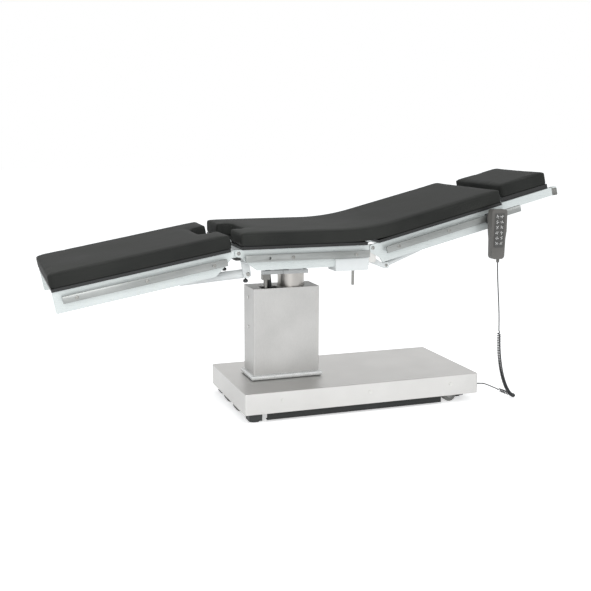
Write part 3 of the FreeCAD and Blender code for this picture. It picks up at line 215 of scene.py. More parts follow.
lip = bmesh.new()
rings = []
for corner_x, corner_y in ((-1, -1), (1, -1), (1, 1), (-1, 1)):
    rings.append([lip.verts.new((COLUMN_X + corner_x * (COLUMN_HALF_LONG + out),
                                 COLUMN_Y + corner_y * (COLUMN_HALF_DEEP + out),
                                 COLLAR_FROM + rise)) for out, rise in COLLAR_ROUND])
for k, ring in enumerate(rings):
    for i in range(len(ring)):
        lip.faces.new((rings[k - 1][i - 1], ring[i - 1], ring[i], rings[k - 1][i]))
bmesh.ops.recalc_face_normals(lip, faces=lip.faces)
trim = brushed("polished_stainless_trim", "DFE0DF", "CFD1D0", 0.7, ALONG, 0.26, metal=0.6)
collar_lip = object_of("collar_lip", lip, trim, sharp_from=40)
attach(collar_lip, "base")
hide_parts("column_collar")
finish(brushed("turned_stainless", "CFCFCC", "BDBDBA", 0.4, EVEN, 0.3), "cover_screws", "hinge_pins")


# Painted and plastic parts: the chassis, skirts, castor forks and lock feet are dark, the frames under
# the top are enamelled white, and the boards are laminate. Each finish has a fine sprayed or moulded
# grain that breaks up its highlight, from matt powder coat and rubber to half-gloss enamel. The skirts'
# coat is darker still, with painted shade for the gap under the base.
FOUR = (1, 2, 3, 4)


def coated(name, light, shade, grain_mm, rough, depth_mm=0.05):
    material = bpy.data.materials.new(name)
    material.use_nodes = True
    tree = material.node_tree
    shader = tree.nodes["Principled BSDF"]
    place = add(tree, "ShaderNodeTexCoord").outputs["Object"]
    grain = add(tree, "ShaderNodeTexNoise", {"Vector": place, "Scale": 1000 / grain_mm, "Detail": 3.0})
    cloud = add(tree, "ShaderNodeTexNoise", {"Vector": place, "Scale": 9.0, "Detail": 2.0})
    tone = add(tree, "ShaderNodeMapRange", {0: cloud.outputs[0], 1: 0.3, 2: 0.7})
    paint = add(tree, "ShaderNodeMix", {0: tone.outputs[0], 6: colour(shade), 7: colour(light)},
                data_type="RGBA")
    tree.links.new(paint.outputs[2], shader.inputs["Base Color"])
    gloss = add(tree, "ShaderNodeMapRange",
                {0: cloud.outputs[0], 1: 0.3, 2: 0.7, 3: rough - 0.05, 4: rough + 0.05})
    tree.links.new(gloss.outputs[0], shader.inputs["Roughness"])
    relief = add(tree, "ShaderNodeBump",
                 {"Height": grain.outputs[0], "Strength": 0.3, "Distance": depth_mm / 1000})
    tree.links.new(relief.outputs[0], shader.inputs["Normal"])
    return material


black_coat = coated("black_powder_coat", "1B1C1E", "131416", 1.2, 0.5)
finish(black_coat, "strut_bracket", "tilt_cylinder", "tilt_rod", *["castor_fork_%d" % i for i in FOUR])
# The skirts: black powder coat, made darker than the black coat above with painted shade for the shadowed
# gap between the base and the floor.
finish(coated("black_skirt_coat_and_painted_shade", "0D1110", "070A09", 1.2, 0.6), "base_skirts")
finish(coated("grey_black_casting", "2E3130", "242726", 1.6, 0.55), "lock_foot_sleeves")
finish(coated("grey_primer_paint", "8A8C8E", "7A7C7E", 2.0, 0.5), "base_chassis", "column_tube")
finish(coated("moulded_rubber", "2A2B2D", "1D1E20", 1.5, 0.6), "cord_gland",
       *["lock_foot_%d" % i for i in FOUR])
finish(coated("white_enamel", "E0E3E3", "D8DBDB", 2.5, 0.3), "seat_frame", "actuator_cover",
       "leg_strut_cylinders", "back_strut_cylinders")
finish(coated("pale_grey_enamel", "D3D5D5", "C6C8C8", 2.5, 0.38), "column_head", "tilt_head")
finish(coated("black_laminate", "0E0F10", "08090A", 0.8, 0.4), "seat_board", "leg_board", "back_board",
       "head_board")


# Bars and rods: ground and hard chromed steel, bright, with faint draw lines along them. The lift
# column is turned from thick tube and only satin ground, so that it is greyer than the rods, and the
# guide rod beside it is dull with grease.
finish(brushed("hard_chrome", "DADBDC", "CBCCCE", 0.4, UPRIGHT, 0.14), "trend_axle",
       "leg_strut_rods", "back_strut_rods")
finish(brushed("ground_steel", "B4B1AD", "A3A09C", 0.6, ROUND_IT, 0.32), "lift_column")
finish(brushed("greased_steel", "7E7D7A", "6A6966", 0.5, UPRIGHT, 0.25), "guide_rod")


# Side frames and rails: the frames are bright polished stainless that mirrors the white room, and the
# rails on them are drawn flat bar with a satin grain along their length.
polished = brushed("polished_stainless", "D2D7D6", "C9CFCE", 0.8, ALONG, 0.3, metal=0.35)
# Rails: a satin grain along their length, and a broad cloud of strongly lighter and darker tone along them
# that is partly random tone and partly a painted highlight.
satin_and_painted_highlight = brushed("satin_stainless_and_painted_highlight", "A2A4A3", "7C7F7D", 0.5, ALONG, 0.36, cloud_mm=260)
finish(polished, "seat_side_plates", "leg_frame", "back_frame", "head_frame")


def apply_modifiers(piece):
    data = bpy.data.meshes.new_from_object(piece.evaluated_get(bpy.context.evaluated_depsgraph_get()))
    piece.modifiers.clear()
    piece.data = data


def softened(name, node, width, steps, material, body):
    """A copy of a node's solids with rounded edges, which takes the node's place."""
    mesh = bmesh.new()
    mesh.from_mesh(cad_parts[node].data)
    bmesh.ops.remove_doubles(mesh, verts=mesh.verts, dist=1e-5)
    bmesh.ops.dissolve_limit(mesh, angle_limit=0.02, verts=mesh.verts, edges=mesh.edges)
    piece = object_of(name, mesh)
    bevel = piece.modifiers.new("round", "BEVEL")
    bevel.width = width
    bevel.segments = steps
    bevel.limit_method = "ANGLE"
    bevel.angle_limit = math.radians(40)
    apply_modifiers(piece)
    piece.data.materials.clear()
    piece.data.materials.append(material)
    piece.data.shade_smooth()
    piece.data.set_sharp_from_angle(angle=math.radians(35))
    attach(piece, body)
    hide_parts(node)


RAIL_EDGE = 0.0022
for section in ("seat", "leg", "back"):
    softened(section + "_rail_bars", section + "_rails", RAIL_EDGE, 2, satin_and_painted_highlight, section)
finish(brushed("milled_stainless", "D4D3D0", "C6C5C2", 0.6, UPRIGHT, 0.34), "seat_hinge_blocks")
finish(coated("black_clamp_coat", "2A2B2D", "1E1F21", 1.2, 0.4), "handset_clamp")


# Pads: firm foam in black coated fabric, a flat top panel sewn to a side wall with a welt of the same
# fabric in the seam, held to the boards by hook tape. Each cover is built flat, blown out a little by
# a cloth simulation, and then laid on its boards; the middle one runs on over the back section's hinge.
def coated_fabric():
    """Polyurethane on knitted cloth: matt black, with a leather grain and faint wide creases."""
    material = bpy.data.materials.new("black_coated_fabric")
    material.use_nodes = True
    tree = material.node_tree
    shader = tree.nodes["Principled BSDF"]
    place = add(tree, "ShaderNodeTexCoord").outputs["Object"]
    cloud = add(tree, "ShaderNodeTexNoise", {"Vector": place, "Scale": 5.0, "Detail": 2.0})
    tone = add(tree, "ShaderNodeMapRange", {0: cloud.outputs[0], 1: 0.3, 2: 0.7})
    paint = add(tree, "ShaderNodeMix", {0: tone.outputs[0], 6: colour("292A29"), 7: colour("353634")},
                data_type="RGBA")
    tree.links.new(paint.outputs[2], shader.inputs["Base Color"])
    gloss = add(tree, "ShaderNodeMapRange", {0: cloud.outputs[0], 1: 0.3, 2: 0.7, 3: 0.5, 4: 0.6})
    tree.links.new(gloss.outputs[0], shader.inputs["Roughness"])
    shader.inputs["Specular IOR Level"].default_value = 0.04
    leather = add(tree, "ShaderNodeTexVoronoi", {"Vector": place, "Scale": 700.0},
                  feature="DISTANCE_TO_EDGE")
    creases = add(tree, "ShaderNodeTexNoise",
                  {"Vector": place, "Scale": 22.0, "Detail": 2.0, "Distortion": 1.0})
    fine = add(tree, "ShaderNodeBump",
               {"Height": leather.outputs[0], "Strength": 0.15, "Distance": 0.0002})
    wide = add(tree, "ShaderNodeBump", {"Height": creases.outputs[0], "Strength": 0.2, "Distance": 0.0012,
                                        "Normal": fine.outputs[0]})
    tree.links.new(wide.outputs[0], shader.inputs["Normal"])
    return material


# Metres. The boards' tops and the pads' undersides are given as heights over the hinge axes.
fabric = coated_fabric()
BOARD_TOP = 0.0240
PAD_THICK = 0.0477
PAD_RAISE = 0.0243
HALF_WIDE = 0.260
VOXEL = 0.006
PUFF = 0.004
PRESSURE = 4.0
CLOTH_FRAMES = 20
CREASE_APART = 0.031
CREASE_SLANT = 0.9
SEAM_STEP = 0.008
SEAM_REACH = 0.004
WELT_THICK = 0.0024
WELT_SUNK = 0.0002


def rounded_outline(corners):
    """Points round an outline given as (x, y, corner radius)."""
    points = []
    for k, (x, y, radius) in enumerate(corners):
        here = Vector((x, y))
        before = (Vector(corners[k - 1][:2]) - here).normalized()
        after = (Vector(corners[(k + 1) % len(corners)][:2]) - here).normalized()
        half = before.angle(after) / 2
        centre = here + (before + after).normalized() * radius / math.sin(half)
        first = here + before * radius / math.tan(half) - centre
        last = here + after * radius / math.tan(half) - centre
        turn = first.angle_signed(last)
        for i in range(9):
            angle = math.atan2(first.y, first.x) - turn * i / 8
            points.append(centre + Vector((math.cos(angle), math.sin(angle))) * radius)
    return points


def flat_cover(name, outline):
    mesh = bmesh.new()
    low = [mesh.verts.new((p.x, p.y, 0)) for p in outline]
    high = [mesh.verts.new((p.x, p.y, PAD_THICK)) for p in outline]
    mesh.faces.new(low[::-1])
    mesh.faces.new(high)
    for k in range(len(low)):
        mesh.faces.new((low[k - 1], low[k], high[k], high[k - 1]))
    bmesh.ops.recalc_face_normals(mesh, faces=mesh.faces)
    return object_of(name, mesh)


def blow_out(piece, cap):
    """Cloth with pressure inside; no point may move more than cap, in metres."""
    rest = [v.co.copy() for v in piece.data.vertices]
    cloth = piece.modifiers.new("cover", "CLOTH")
    cloth.settings.use_pressure = True
    cloth.settings.uniform_pressure_force = PRESSURE
    cloth.settings.effector_weights.gravity = 0
    cloth.settings.quality = 4
    cloth.point_cache.frame_end = CLOTH_FRAMES
    for number in range(1, CLOTH_FRAMES + 1):
        scene.frame_set(number)
    apply_modifiers(piece)
    scene.frame_set(1)
    for vertex, start in zip(piece.data.vertices, rest):
        moved = vertex.co - start
        if moved.length > cap:
            vertex.co = start + moved * (cap / moved.length)
        vertex.co.z = max(vertex.co.z, 0)


def pull_creases(piece, stretches):
    """Soft slanting creases that the cover's pull leaves in its side walls, over (from, to, height)."""
    for vertex in piece.data.vertices:
        if abs(vertex.co.y) < HALF_WIDE - 0.004 or vertex.co.z > PAD_THICK - 0.006:
            continue
        rise = math.sin(math.pi * min(1, max(0, vertex.co.z / PAD_THICK)))
        for near, far, height in stretches:
            share = (vertex.co.x - near) / (far - near)
            if 0 < share < 1:
                turns = (vertex.co.x - CREASE_SLANT * vertex.co.z) / CREASE_APART
                wave = math.sin(2 * math.pi * turns + 4 * share * share)
                depth = height * wave * rise * math.sin(math.pi * share)
                vertex.co.y -= math.copysign(depth, vertex.co.y)


def seam_loop(piece, outline):
    """A closed line of points on the finished cover, along its top edge."""
    tree = BVHTree.FromObject(piece, bpy.context.evaluated_depsgraph_get())
    loop = []
    for k, end in enumerate(outline):
        start = outline[k - 1]
        steps = max(1, round((end - start).length / SEAM_STEP))
        loop += [start.lerp(end, (i + 1) / steps) for i in range(steps)]
    points = []
    for k, spot in enumerate(loop):
        along = loop[(k + 1) % len(loop)] - loop[k - 1]
        outward = Vector((along.y, -along.x)).normalized() * SEAM_REACH
        asked = Vector((spot.x + outward.x, spot.y + outward.y, PAD_THICK + SEAM_REACH))
        place, normal = tree.find_nearest(asked)[:2]
        points.append(place - normal * WELT_SUNK)
    return points


def closed_tube(name, points, thick):
    """A tube round a closed line, as a plain mesh."""
    curve = bpy.data.curves.new(name, "CURVE")
    curve.dimensions = "3D"
    spline = curve.splines.new("POLY")
    spline.points.add(len(points) - 1)
    for point, place in zip(spline.points, points):
        point.co = (*place, 1)
    spline.use_cyclic_u = True
    curve.bevel_depth = thick / 2
    curve.bevel_resolution = 2
    tube = bpy.data.objects.new(name, curve)
    scene.collection.objects.link(tube)
    data = bpy.data.meshes.new_from_object(tube.evaluated_get(bpy.context.evaluated_depsgraph_get()))
    bpy.data.objects.remove(tube)
    piece = bpy.data.objects.new(name, data)
    scene.collection.objects.link(piece)
    return piece


def cushion(name, corners, place, creases=()):
    """A cover and its welt, made flat, then every point taken to its place on the table."""
    outline = rounded_outline(corners)
    piece = flat_cover(name + "_cushion", outline)
    remesh = piece.modifiers.new("skin", "REMESH")
    remesh.mode = "VOXEL"
    remesh.voxel_size = VOXEL
    apply_modifiers(piece)
    blow_out(piece, PUFF)
    smooth = piece.modifiers.new("smooth", "SUBSURF")
    smooth.levels = smooth.render_levels = 1
    apply_modifiers(piece)
    pull_creases(piece, creases)
    piece.data.update()
    bpy.context.view_layer.update()
    welt = closed_tube(name + "_welt", seam_loop(piece, outline), WELT_THICK)
    for part in (piece, welt):
        for vertex in part.data.vertices:
            vertex.co = place(vertex.co)
        for face in part.data.polygons:
            face.use_smooth = True
        part.data.materials.clear()
        part.data.materials.append(fabric)
    return piece, welt


# Hinge axes and the angles at which the sections rest. Sizes along a section are from its own hinge.
LEG_HINGE = Vector((COLUMN_X - 0.243, COLUMN_Y, 0.638))
BACK_HINGE = Vector((COLUMN_X + 0.277, COLUMN_Y, 0.638))
LEG_TILT, BACK_TILT = math.radians(10.2), math.radians(14)
BEND_HALF = 0.120
BEND_RADIUS = BEND_HALF / math.tan(BACK_TILT / 2)
CORNER_SHIFT = BOARD_TOP * math.tan(BACK_TILT / 2)
CORNER_X = BACK_HINGE.x - CORNER_SHIFT


def on_section(hinge, tilt):
    def place(point):
        high = point.z + PAD_RAISE
        return hinge + Vector((point.x * math.cos(tilt) - high * math.sin(tilt), point.y,
                               point.x * math.sin(tilt) + high * math.cos(tilt)))
    return place


def over_hinge(point):
    """Along the seat, round one arc over the hinge, and up the back; x is 0 at the middle of the arc."""
    reach = BEND_RADIUS * BACK_TILT / 2
    angle = min(BACK_TILT, max(0, (point.x + reach) / BEND_RADIUS))
    past = point.x + reach - angle * BEND_RADIUS
    centre = Vector((CORNER_X - BEND_HALF, COLUMN_Y + point.y, BACK_HINGE.z + PAD_RAISE + BEND_RADIUS))
    spoke = BEND_RADIUS - point.z
    return centre + Vector((math.sin(angle) * spoke + math.cos(angle) * past, 0,
                            -math.cos(angle) * spoke + math.sin(angle) * past))


# Corners as (along, across, radius): the leg pad's from foot to hinge with its notch, the head pad's, and
# the middle pad's laid flat, from the notch over the leg hinge to the back's head end.
LEG_FOOT, LEG_NEAR, LEG_NOTCH, LEG_NOTCH_HALF = -0.664, -0.020, -0.088, 0.096
HEAD_FROM, HEAD_TO, HEAD_HALF = 0.604, 0.820, 0.188
SEAT_END = COLUMN_X - 0.235 - CORNER_X
BACK_END = 0.562 - CORNER_SHIFT
SEAT_NOTCH, SEAT_NOTCH_HALF = SEAT_END + 0.058, 0.095
SMALL, HEAD_ROUND, BACK_ROUND, FOOT_ROUND, LEG_NOTCH_ROUND, SEAT_NOTCH_ROUND = (
    0.009, 0.014, 0.012, 0.022, 0.040, 0.036)
LEG_CORNERS = [(LEG_FOOT, -HALF_WIDE, FOOT_ROUND), (LEG_NEAR, -HALF_WIDE, SMALL),
               (LEG_NEAR, -LEG_NOTCH_HALF, SMALL), (LEG_NOTCH, -LEG_NOTCH_HALF, LEG_NOTCH_ROUND),
               (LEG_NOTCH, LEG_NOTCH_HALF, LEG_NOTCH_ROUND), (LEG_NEAR, LEG_NOTCH_HALF, SMALL),
               (LEG_NEAR, HALF_WIDE, SMALL), (LEG_FOOT, HALF_WIDE, FOOT_ROUND)]
HEAD_CORNERS = [(HEAD_FROM, -HEAD_HALF, HEAD_ROUND), (HEAD_TO, -HEAD_HALF, HEAD_ROUND),
                (HEAD_TO, HEAD_HALF, HEAD_ROUND), (HEAD_FROM, HEAD_HALF, HEAD_ROUND)]
BODY_CORNERS = [(SEAT_END, -HALF_WIDE, SMALL), (BACK_END, -HALF_WIDE, BACK_ROUND),
                (BACK_END, HALF_WIDE, BACK_ROUND), (SEAT_END, HALF_WIDE, SMALL),
                (SEAT_END, SEAT_NOTCH_HALF, SMALL), (SEAT_NOTCH, SEAT_NOTCH_HALF, SEAT_NOTCH_ROUND),
                (SEAT_NOTCH, -SEAT_NOTCH_HALF, SEAT_NOTCH_ROUND), (SEAT_END, -SEAT_NOTCH_HALF, SMALL)]
BODY_CREASES = [(SEAT_END + 0.02, SEAT_END + 0.19, 0.0021), (0.28, 0.53, 0.0023)]

for section, corners, place in (("leg", LEG_CORNERS, on_section(LEG_HINGE, LEG_TILT)),
                                ("head", HEAD_CORNERS, on_section(BACK_HINGE, BACK_TILT))):
    section_cushion, section_welt = cushion(section, corners, place)
    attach(section_cushion, section)
    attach(section_welt, section)
    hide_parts(section + "_pad")
body_cushion, body_welt = cushion("body", BODY_CORNERS, over_hinge, BODY_CREASES)
for piece in (body_cushion, body_welt):
    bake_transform(piece)
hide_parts("seat_pad", "pad_bend", "back_pad")


# Rail screws: stainless button heads with a hexagon socket, through the rails into their spacers. Finely
# turned, so that each has a small sharp highlight. One head is drawn and Geometry Nodes repeat it.
HEAD_RINGS = [(5.0, 0.0), (5.0, 0.5), (4.4, 1.0), (3.3, 1.2)]
SOCKET_RINGS = [(2.4, 1.2), (2.3, 0.25)]


def ring_stack(name, rings, hexes=(), sides=24):
    """A closed turned form from (radius, height) in millimetres, the last rings following a hexagon."""
    mesh = bmesh.new()
    loops = []
    for k, (radius, height) in enumerate([*rings, *hexes]):
        loop = []
        for i in range(sides):
            angle = 2 * math.pi * i / sides
            reach = radius
            if k >= len(rings):
                reach = radius * math.cos(math.pi / 6) / math.cos((angle % (math.pi / 3)) - math.pi / 6)
            place = Vector((reach * math.cos(angle), reach * math.sin(angle), height)) / 1000
            loop.append(mesh.verts.new(place))
        loops.append(loop)
    mesh.faces.new(loops[0][::-1])
    for low, high in zip(loops, loops[1:]):
        for i in range(sides):
            mesh.faces.new((low[i - 1], low[i], high[i], high[i - 1]))
    mesh.faces.new(loops[-1])
    return object_of(name, mesh)


def repeat_tree(name):
    """A tree that puts one shape at each point, each turned on a step further, as one plain mesh."""
    tree = bpy.data.node_groups.new(name, "GeometryNodeTree")
    face = tree.interface
    face.new_socket("Spots", in_out="INPUT", socket_type="NodeSocketGeometry")
    for label, kind in (("Shape", "NodeSocketObject"), ("Facing", "NodeSocketVector"),
                        ("Step angle", "NodeSocketFloat"), ("Size", "NodeSocketFloat"),
                        ("Finish", "NodeSocketMaterial")):
        face.new_socket(label, in_out="INPUT", socket_type=kind)
    face.new_socket("Row", in_out="OUTPUT", socket_type="NodeSocketGeometry")
    given = add(tree, "NodeGroupInput")
    shape = add(tree, "GeometryNodeObjectInfo", {"Object": given.outputs["Shape"]})
    count = add(tree, "GeometryNodeInputIndex")
    turned = add(tree, "ShaderNodeMath", {0: count.outputs[0], 1: given.outputs["Step angle"]},
                 operation="MULTIPLY")
    spin = add(tree, "ShaderNodeCombineXYZ", {2: turned.outputs[0]})
    row = add(tree, "GeometryNodeInstanceOnPoints", {
        "Points": given.outputs["Spots"], "Instance": shape.outputs["Geometry"],
        "Rotation": given.outputs["Facing"], "Scale": given.outputs["Size"]})
    row = add(tree, "GeometryNodeRotateInstances",
              {"Instances": row.outputs[0], "Rotation": spin.outputs[0]})
    solid = add(tree, "GeometryNodeRealizeInstances", {"Geometry": row.outputs[0]})
    done = add(tree, "GeometryNodeSetMaterial",
               {"Geometry": solid.outputs[0], "Material": given.outputs["Finish"]})
    add(tree, "NodeGroupOutput", {"Row": done.outputs[0]})
    return tree


row_tree = repeat_tree("row_of_one_shape")
ROW_INPUTS = {s.name: s.identifier for s in row_tree.interface.items_tree if s.in_out == "INPUT"}
STANDING, NEAR_SIDE, FAR_SIDE = (0.0, 0.0, 0.0), (math.pi / 2, 0.0, 0.0), (-math.pi / 2, 0.0, 0.0)


def repeated(name, spots, body, shape, material, facing=STANDING, step_angle=0.0, size=1.0):
    """A row of one shape at the spots, made a plain mesh that rides on body."""
    data = bpy.data.meshes.new(name)
    data.from_pydata([tuple(s) for s in spots], [], [])
    piece = bpy.data.objects.new(name, data)
    scene.collection.objects.link(piece)
    modifier = piece.modifiers.new("row", "NODES")
    modifier.node_group = row_tree
    for label, value in (("Shape", shape), ("Facing", facing), ("Step angle", step_angle), ("Size", size),
                         ("Finish", material)):
        modifier[ROW_INPUTS[label]] = value
    apply_modifiers(piece)
    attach(piece, body)


screw_steel = brushed("turned_screw_steel", "A6A6A3", "7E7E7B", 0.4, EVEN, 0.22)
screw_head = ring_stack("screw_head", HEAD_RINGS, SOCKET_RINGS)
RAIL_FACE = 0.2708
RAIL_DROP = 0.018
RAIL_SCREWS = {"seat": (BACK_HINGE, 0, [-0.322, -0.075]),
               "leg": (LEG_HINGE, LEG_TILT, [-0.099, -0.340, -0.581]),
               "back": (BACK_HINGE, BACK_TILT, [0.095, 0.310, 0.525])}
SIDES = ((-1, NEAR_SIDE, "near"), (1, FAR_SIDE, "far"))
for section, (hinge, tilt, places) in RAIL_SCREWS.items():
    for side, facing, word in SIDES:
        spots = [hinge + Vector((x * math.cos(tilt) + RAIL_DROP * math.sin(tilt), side * RAIL_FACE,
                                 x * math.sin(tilt) - RAIL_DROP * math.cos(tilt))) for x in places]
        repeated("%s_rail_screws_%s" % (section, word), spots, section, screw_head,
                 screw_steel, facing, step_angle=0.4, size=1.25)


# Pivot screws: the same head, larger, on the outer ends of the gas struts' pins and of the section
# hinges, and a small black turned release knob, half gloss, under each leg strut's seat end.
HINGE_FACE = 0.2468
LUG_FACE = 0.1762
ARM_FACE = 0.2202
LEG_STRUT_Y = 0.150
KNOB_RINGS = [(6.5, 0.0), (9.0, 2.5), (9.5, 6.0), (9.0, 9.0), (6.0, 12.0), (3.0, 13.0), (3.0, 27.0)]
knob_shape = ring_stack("release_knob", KNOB_RINGS)
black_knob = coated("black_turned_knob", "26282A", "17181A", 1.0, 0.3)
for side, facing, word in SIDES:
    for name, spots, step_angle, size in (
            ("hinge_screws_", [(LEG_HINGE.x, COLUMN_Y + side * HINGE_FACE, LEG_HINGE.z),
                               (BACK_HINGE.x, COLUMN_Y + side * HINGE_FACE, BACK_HINGE.z)], 0.5, 1.35),
            ("leg_pivot_screw_", [(COLUMN_X - 0.188, COLUMN_Y + side * LUG_FACE, 0.551)], 0.0, 1.5),
            ("back_pivot_screw_", [(COLUMN_X + 0.345, COLUMN_Y + side * ARM_FACE, 0.566)], 0.0, 1.2)):
        repeated(name + word, spots, "seat", screw_head, screw_steel, facing, step_angle, size)
    repeated("strut_release_knob_" + word, [(COLUMN_X - 0.190, COLUMN_Y + side * LEG_STRUT_Y, 0.517)],
             "leg_cylinders", knob_shape, black_knob)


# Locking quadrants: a dark steel sector with fine teeth behind each leg hinge, oiled, with a soft dull
# shine. Cut from plate about the hinge's own axis, so that it turns freely with the leg section.
QUADRANT_REACH = 0.028
QUADRANT_TOOTH = 0.002
QUADRANT_FROM, QUADRANT_STEP, QUADRANT_STEPS = -172, 5, 23
QUADRANT_INNER, QUADRANT_OUTER = 0.2140, 0.2340
quadrant_edge = [Vector((0, 0))]
for step in range(QUADRANT_STEPS):
    angle = math.radians(QUADRANT_FROM + QUADRANT_STEP * step)
    reach = QUADRANT_REACH if step % 2 else QUADRANT_REACH - QUADRANT_TOOTH
    quadrant_edge.append(Vector((math.cos(angle), math.sin(angle))) * reach)
quadrant_steel = brushed("oiled_dark_steel", "4A4A48", "2C2C2B", 0.8, ALONG, 0.3)
for side, facing, word in SIDES:
    mesh = bmesh.new()
    faces = [[mesh.verts.new(LEG_HINGE + Vector((p.x, side * y, p.y))) for p in quadrant_edge]
             for y in (QUADRANT_INNER, QUADRANT_OUTER)]
    mesh.faces.new(faces[0])
    mesh.faces.new(faces[1][::-1])
    for k in range(len(quadrant_edge)):
        mesh.faces.new((faces[0][k - 1], faces[0][k], faces[1][k], faces[1][k - 1]))
    bmesh.ops.recalc_face_normals(mesh, faces=mesh.faces)
    bmesh.ops.bevel(mesh, geom=mesh.edges[:], offset=0.0004, segments=1, affect="EDGES")
    quadrant = object_of("leg_quadrant_" + word, mesh, quadrant_steel, sharp_from=35)
    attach(quadrant, "leg")


# Grey parts: a turned sleeve of dull zinc plated steel over the actuator's pin, and moulded plastic caps,
# matt and a little rounded, on the ends of the head bars.
sleeve_shape = ring_stack("pin_sleeve", [(4.6, 0.0), (5.2, 0.8), (5.2, 53.0), (4.7, 53.6)])
sleeve_steel = brushed("zinc_plated_steel", "8F8E8B", "757471", 0.5, UPRIGHT, 0.3)
repeated("actuator_pin_sleeve", [(COLUMN_X + 0.197, COLUMN_Y - 0.246, 0.5036)], "seat",
         sleeve_shape, sleeve_steel)
CAP_LONG, CAP_WIDE, CAP_HIGH, CAP_LEAN = 0.0270, 0.0250, 0.0330, 0.004
CAP_ALONG, CAP_ACROSS, CAP_BELOW_AXIS = 0.8402, 0.180, 0.010
cap_plastic = coated("grey_cap_plastic", "7F7F7B", "6F6F6B", 1.2, 0.45)
lay_on_head = on_section(BACK_HINGE, BACK_TILT)
for side, facing, word in SIDES:
    mesh = bmesh.new()
    bmesh.ops.create_cube(mesh, size=1.0)
    for vertex in mesh.verts:
        lean = -CAP_LEAN if vertex.co.x > 0 else 0
        vertex.co = lay_on_head(Vector((CAP_ALONG + vertex.co.x * CAP_LONG,
                                        side * CAP_ACROSS + vertex.co.y * CAP_WIDE,
                                        -CAP_BELOW_AXIS - PAD_RAISE + lean + vertex.co.z * CAP_HIGH)))
    bmesh.ops.bevel(mesh, geom=mesh.edges[:], offset=0.003, segments=3, affect="EDGES")
    cap = object_of("head_bar_cap_" + word, mesh, cap_plastic, sharp_from=180)
    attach(cap, "head")


# Castors: twin wheels with a grey moulded tread and softly rounded edges, half hidden in the recess
# under the base, and a pale turned cap pressed into each side as a hub.
tread = coated("grey_moulded_tread", "7E7E7B", "6C6C69", 1.5, 0.5)
HUB_RINGS = [(13.0, 0.0), (13.0, 0.5), (10.0, 1.2), (9.5, 0.7), (5.0, 0.9), (4.0, 1.6)]
hub_shape = ring_stack("hub_cap", HUB_RINGS)
hub_plastic = coated("pale_grey_plastic", "A8A8A5", "989895", 1.0, 0.4)
for number in FOUR:
    wheels = "castor_wheels_%d" % number
    softened("castor_tyres_%d" % number, wheels, 0.003, 3, tread, wheels)
    low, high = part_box(wheels)
    middle = (low + high) / 2
    for end, facing, word in ((low.y, NEAR_SIDE, "near"), (high.y, FAR_SIDE, "far")):
        repeated("castor_hub_%d_%s" % (number, word), [(middle.x, end, middle.z)], wheels,
                 hub_shape, hub_plastic, facing)


# Hand control: a grey moulded ABS case with soft edges and a half-matt grain, and a darker membrane keypad
# with white symbols in two columns of six, each a plain slanted line with an arrow head.
case_plastic = coated("grey_abs", "5F5D5A", "555350", 0.8, 0.42)
softened("handset_body", "handset_case", 0.005, 4, case_plastic, "handset")
finish(coated("membrane_foil", "4B4A48", "434240", 0.8, 0.35), "handset_keypad")
ink = coated("white_symbol_ink", "E9E9E7", "DCDCDA", 0.5, 0.5)
KEY_APART, KEY_ROW, KEY_TOP = 0.0196, 0.0205, 0.013
SYMBOL_UNDER, SYMBOL_OVER = -0.0002, 0.0003
SYMBOL = [[(-5.5, -2.2), (5.5, 0.4), (5.2, 1.8), (-5.8, -0.8)],
          [(-1.2, 1.6), (0.2, 1.9), (-0.6, 5.4), (-2.0, 5.1)],
          [(-3.6, 4.4), (0.6, 5.4), (-2.0, 7.6)],
          [(1.2, -5.6), (5.0, -4.7), (4.7, -3.5), (0.9, -4.4)]]
symbol_mesh = bmesh.new()
for outline in SYMBOL:
    low = [symbol_mesh.verts.new((x / 1000, y / 1000, SYMBOL_UNDER)) for x, y in outline]
    high = [symbol_mesh.verts.new((x / 1000, y / 1000, SYMBOL_OVER)) for x, y in outline]
    symbol_mesh.faces.new(low[::-1])
    symbol_mesh.faces.new(high)
    for i in range(len(low)):
        symbol_mesh.faces.new((low[i - 1], low[i], high[i], high[i - 1]))
bmesh.ops.recalc_face_normals(symbol_mesh, faces=symbol_mesh.faces)
key_symbol = object_of("key_symbol", symbol_mesh)
key_low, key_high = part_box("handset_keypad")
key_x = (key_low.x + key_high.x) / 2
key_spots = [(key_x + column * KEY_APART / 2, key_low.y, key_high.z - KEY_TOP - KEY_ROW * row)
             for row in range(6) for column in (-1, 1)]
repeated("key_symbols", key_spots, "handset", key_symbol, ink, NEAR_SIDE,
         step_angle=math.radians(75))
for pattern in (screw_head, knob_shape, sleeve_shape, hub_shape, key_symbol):
    bpy.data.objects.remove(pattern)


# Lead of the hand control: a round PVC cord that hangs straight, then a curly stretch wound from the
# same cord that sags to the floor and turns back up, then a short straight tail into the base.
CORD_ROUTES = {
    "handset_lead": [(0.785, -0.291, 0.568), (0.7855, -0.291, 0.548), (0.788, -0.291, 0.510),
                     (0.793, -0.291, 0.455), (0.799, -0.291, 0.395), (0.803, -0.291, 0.340),
                     (0.804, -0.291, 0.300)],
    "handset_curl": [(0.804, -0.291, 0.300), (0.8051, -0.291, 0.256), (0.810, -0.2895, 0.201),
                     (0.821, -0.286, 0.148), (0.836, -0.282, 0.100), (0.856, -0.277, 0.058),
                     (0.880, -0.270, 0.026), (0.905, -0.259, 0.012), (0.914, -0.243, 0.0105),
                     (0.900, -0.229, 0.014), (0.876, -0.222, 0.024), (0.850, -0.217, 0.036)],
    "handset_tail": [(0.850, -0.217, 0.036), (0.8283, -0.2128, 0.046), (0.806, -0.204, 0.056),
                     (0.784, -0.200, 0.060), (0.761, -0.200, 0.060)],
}
CORD_THICK = 0.0045
CURL_ACROSS = 0.0155
CURL_PITCH = 0.0068
CURL_STEPS = 14
COIL_LEAD_IN = 0.022


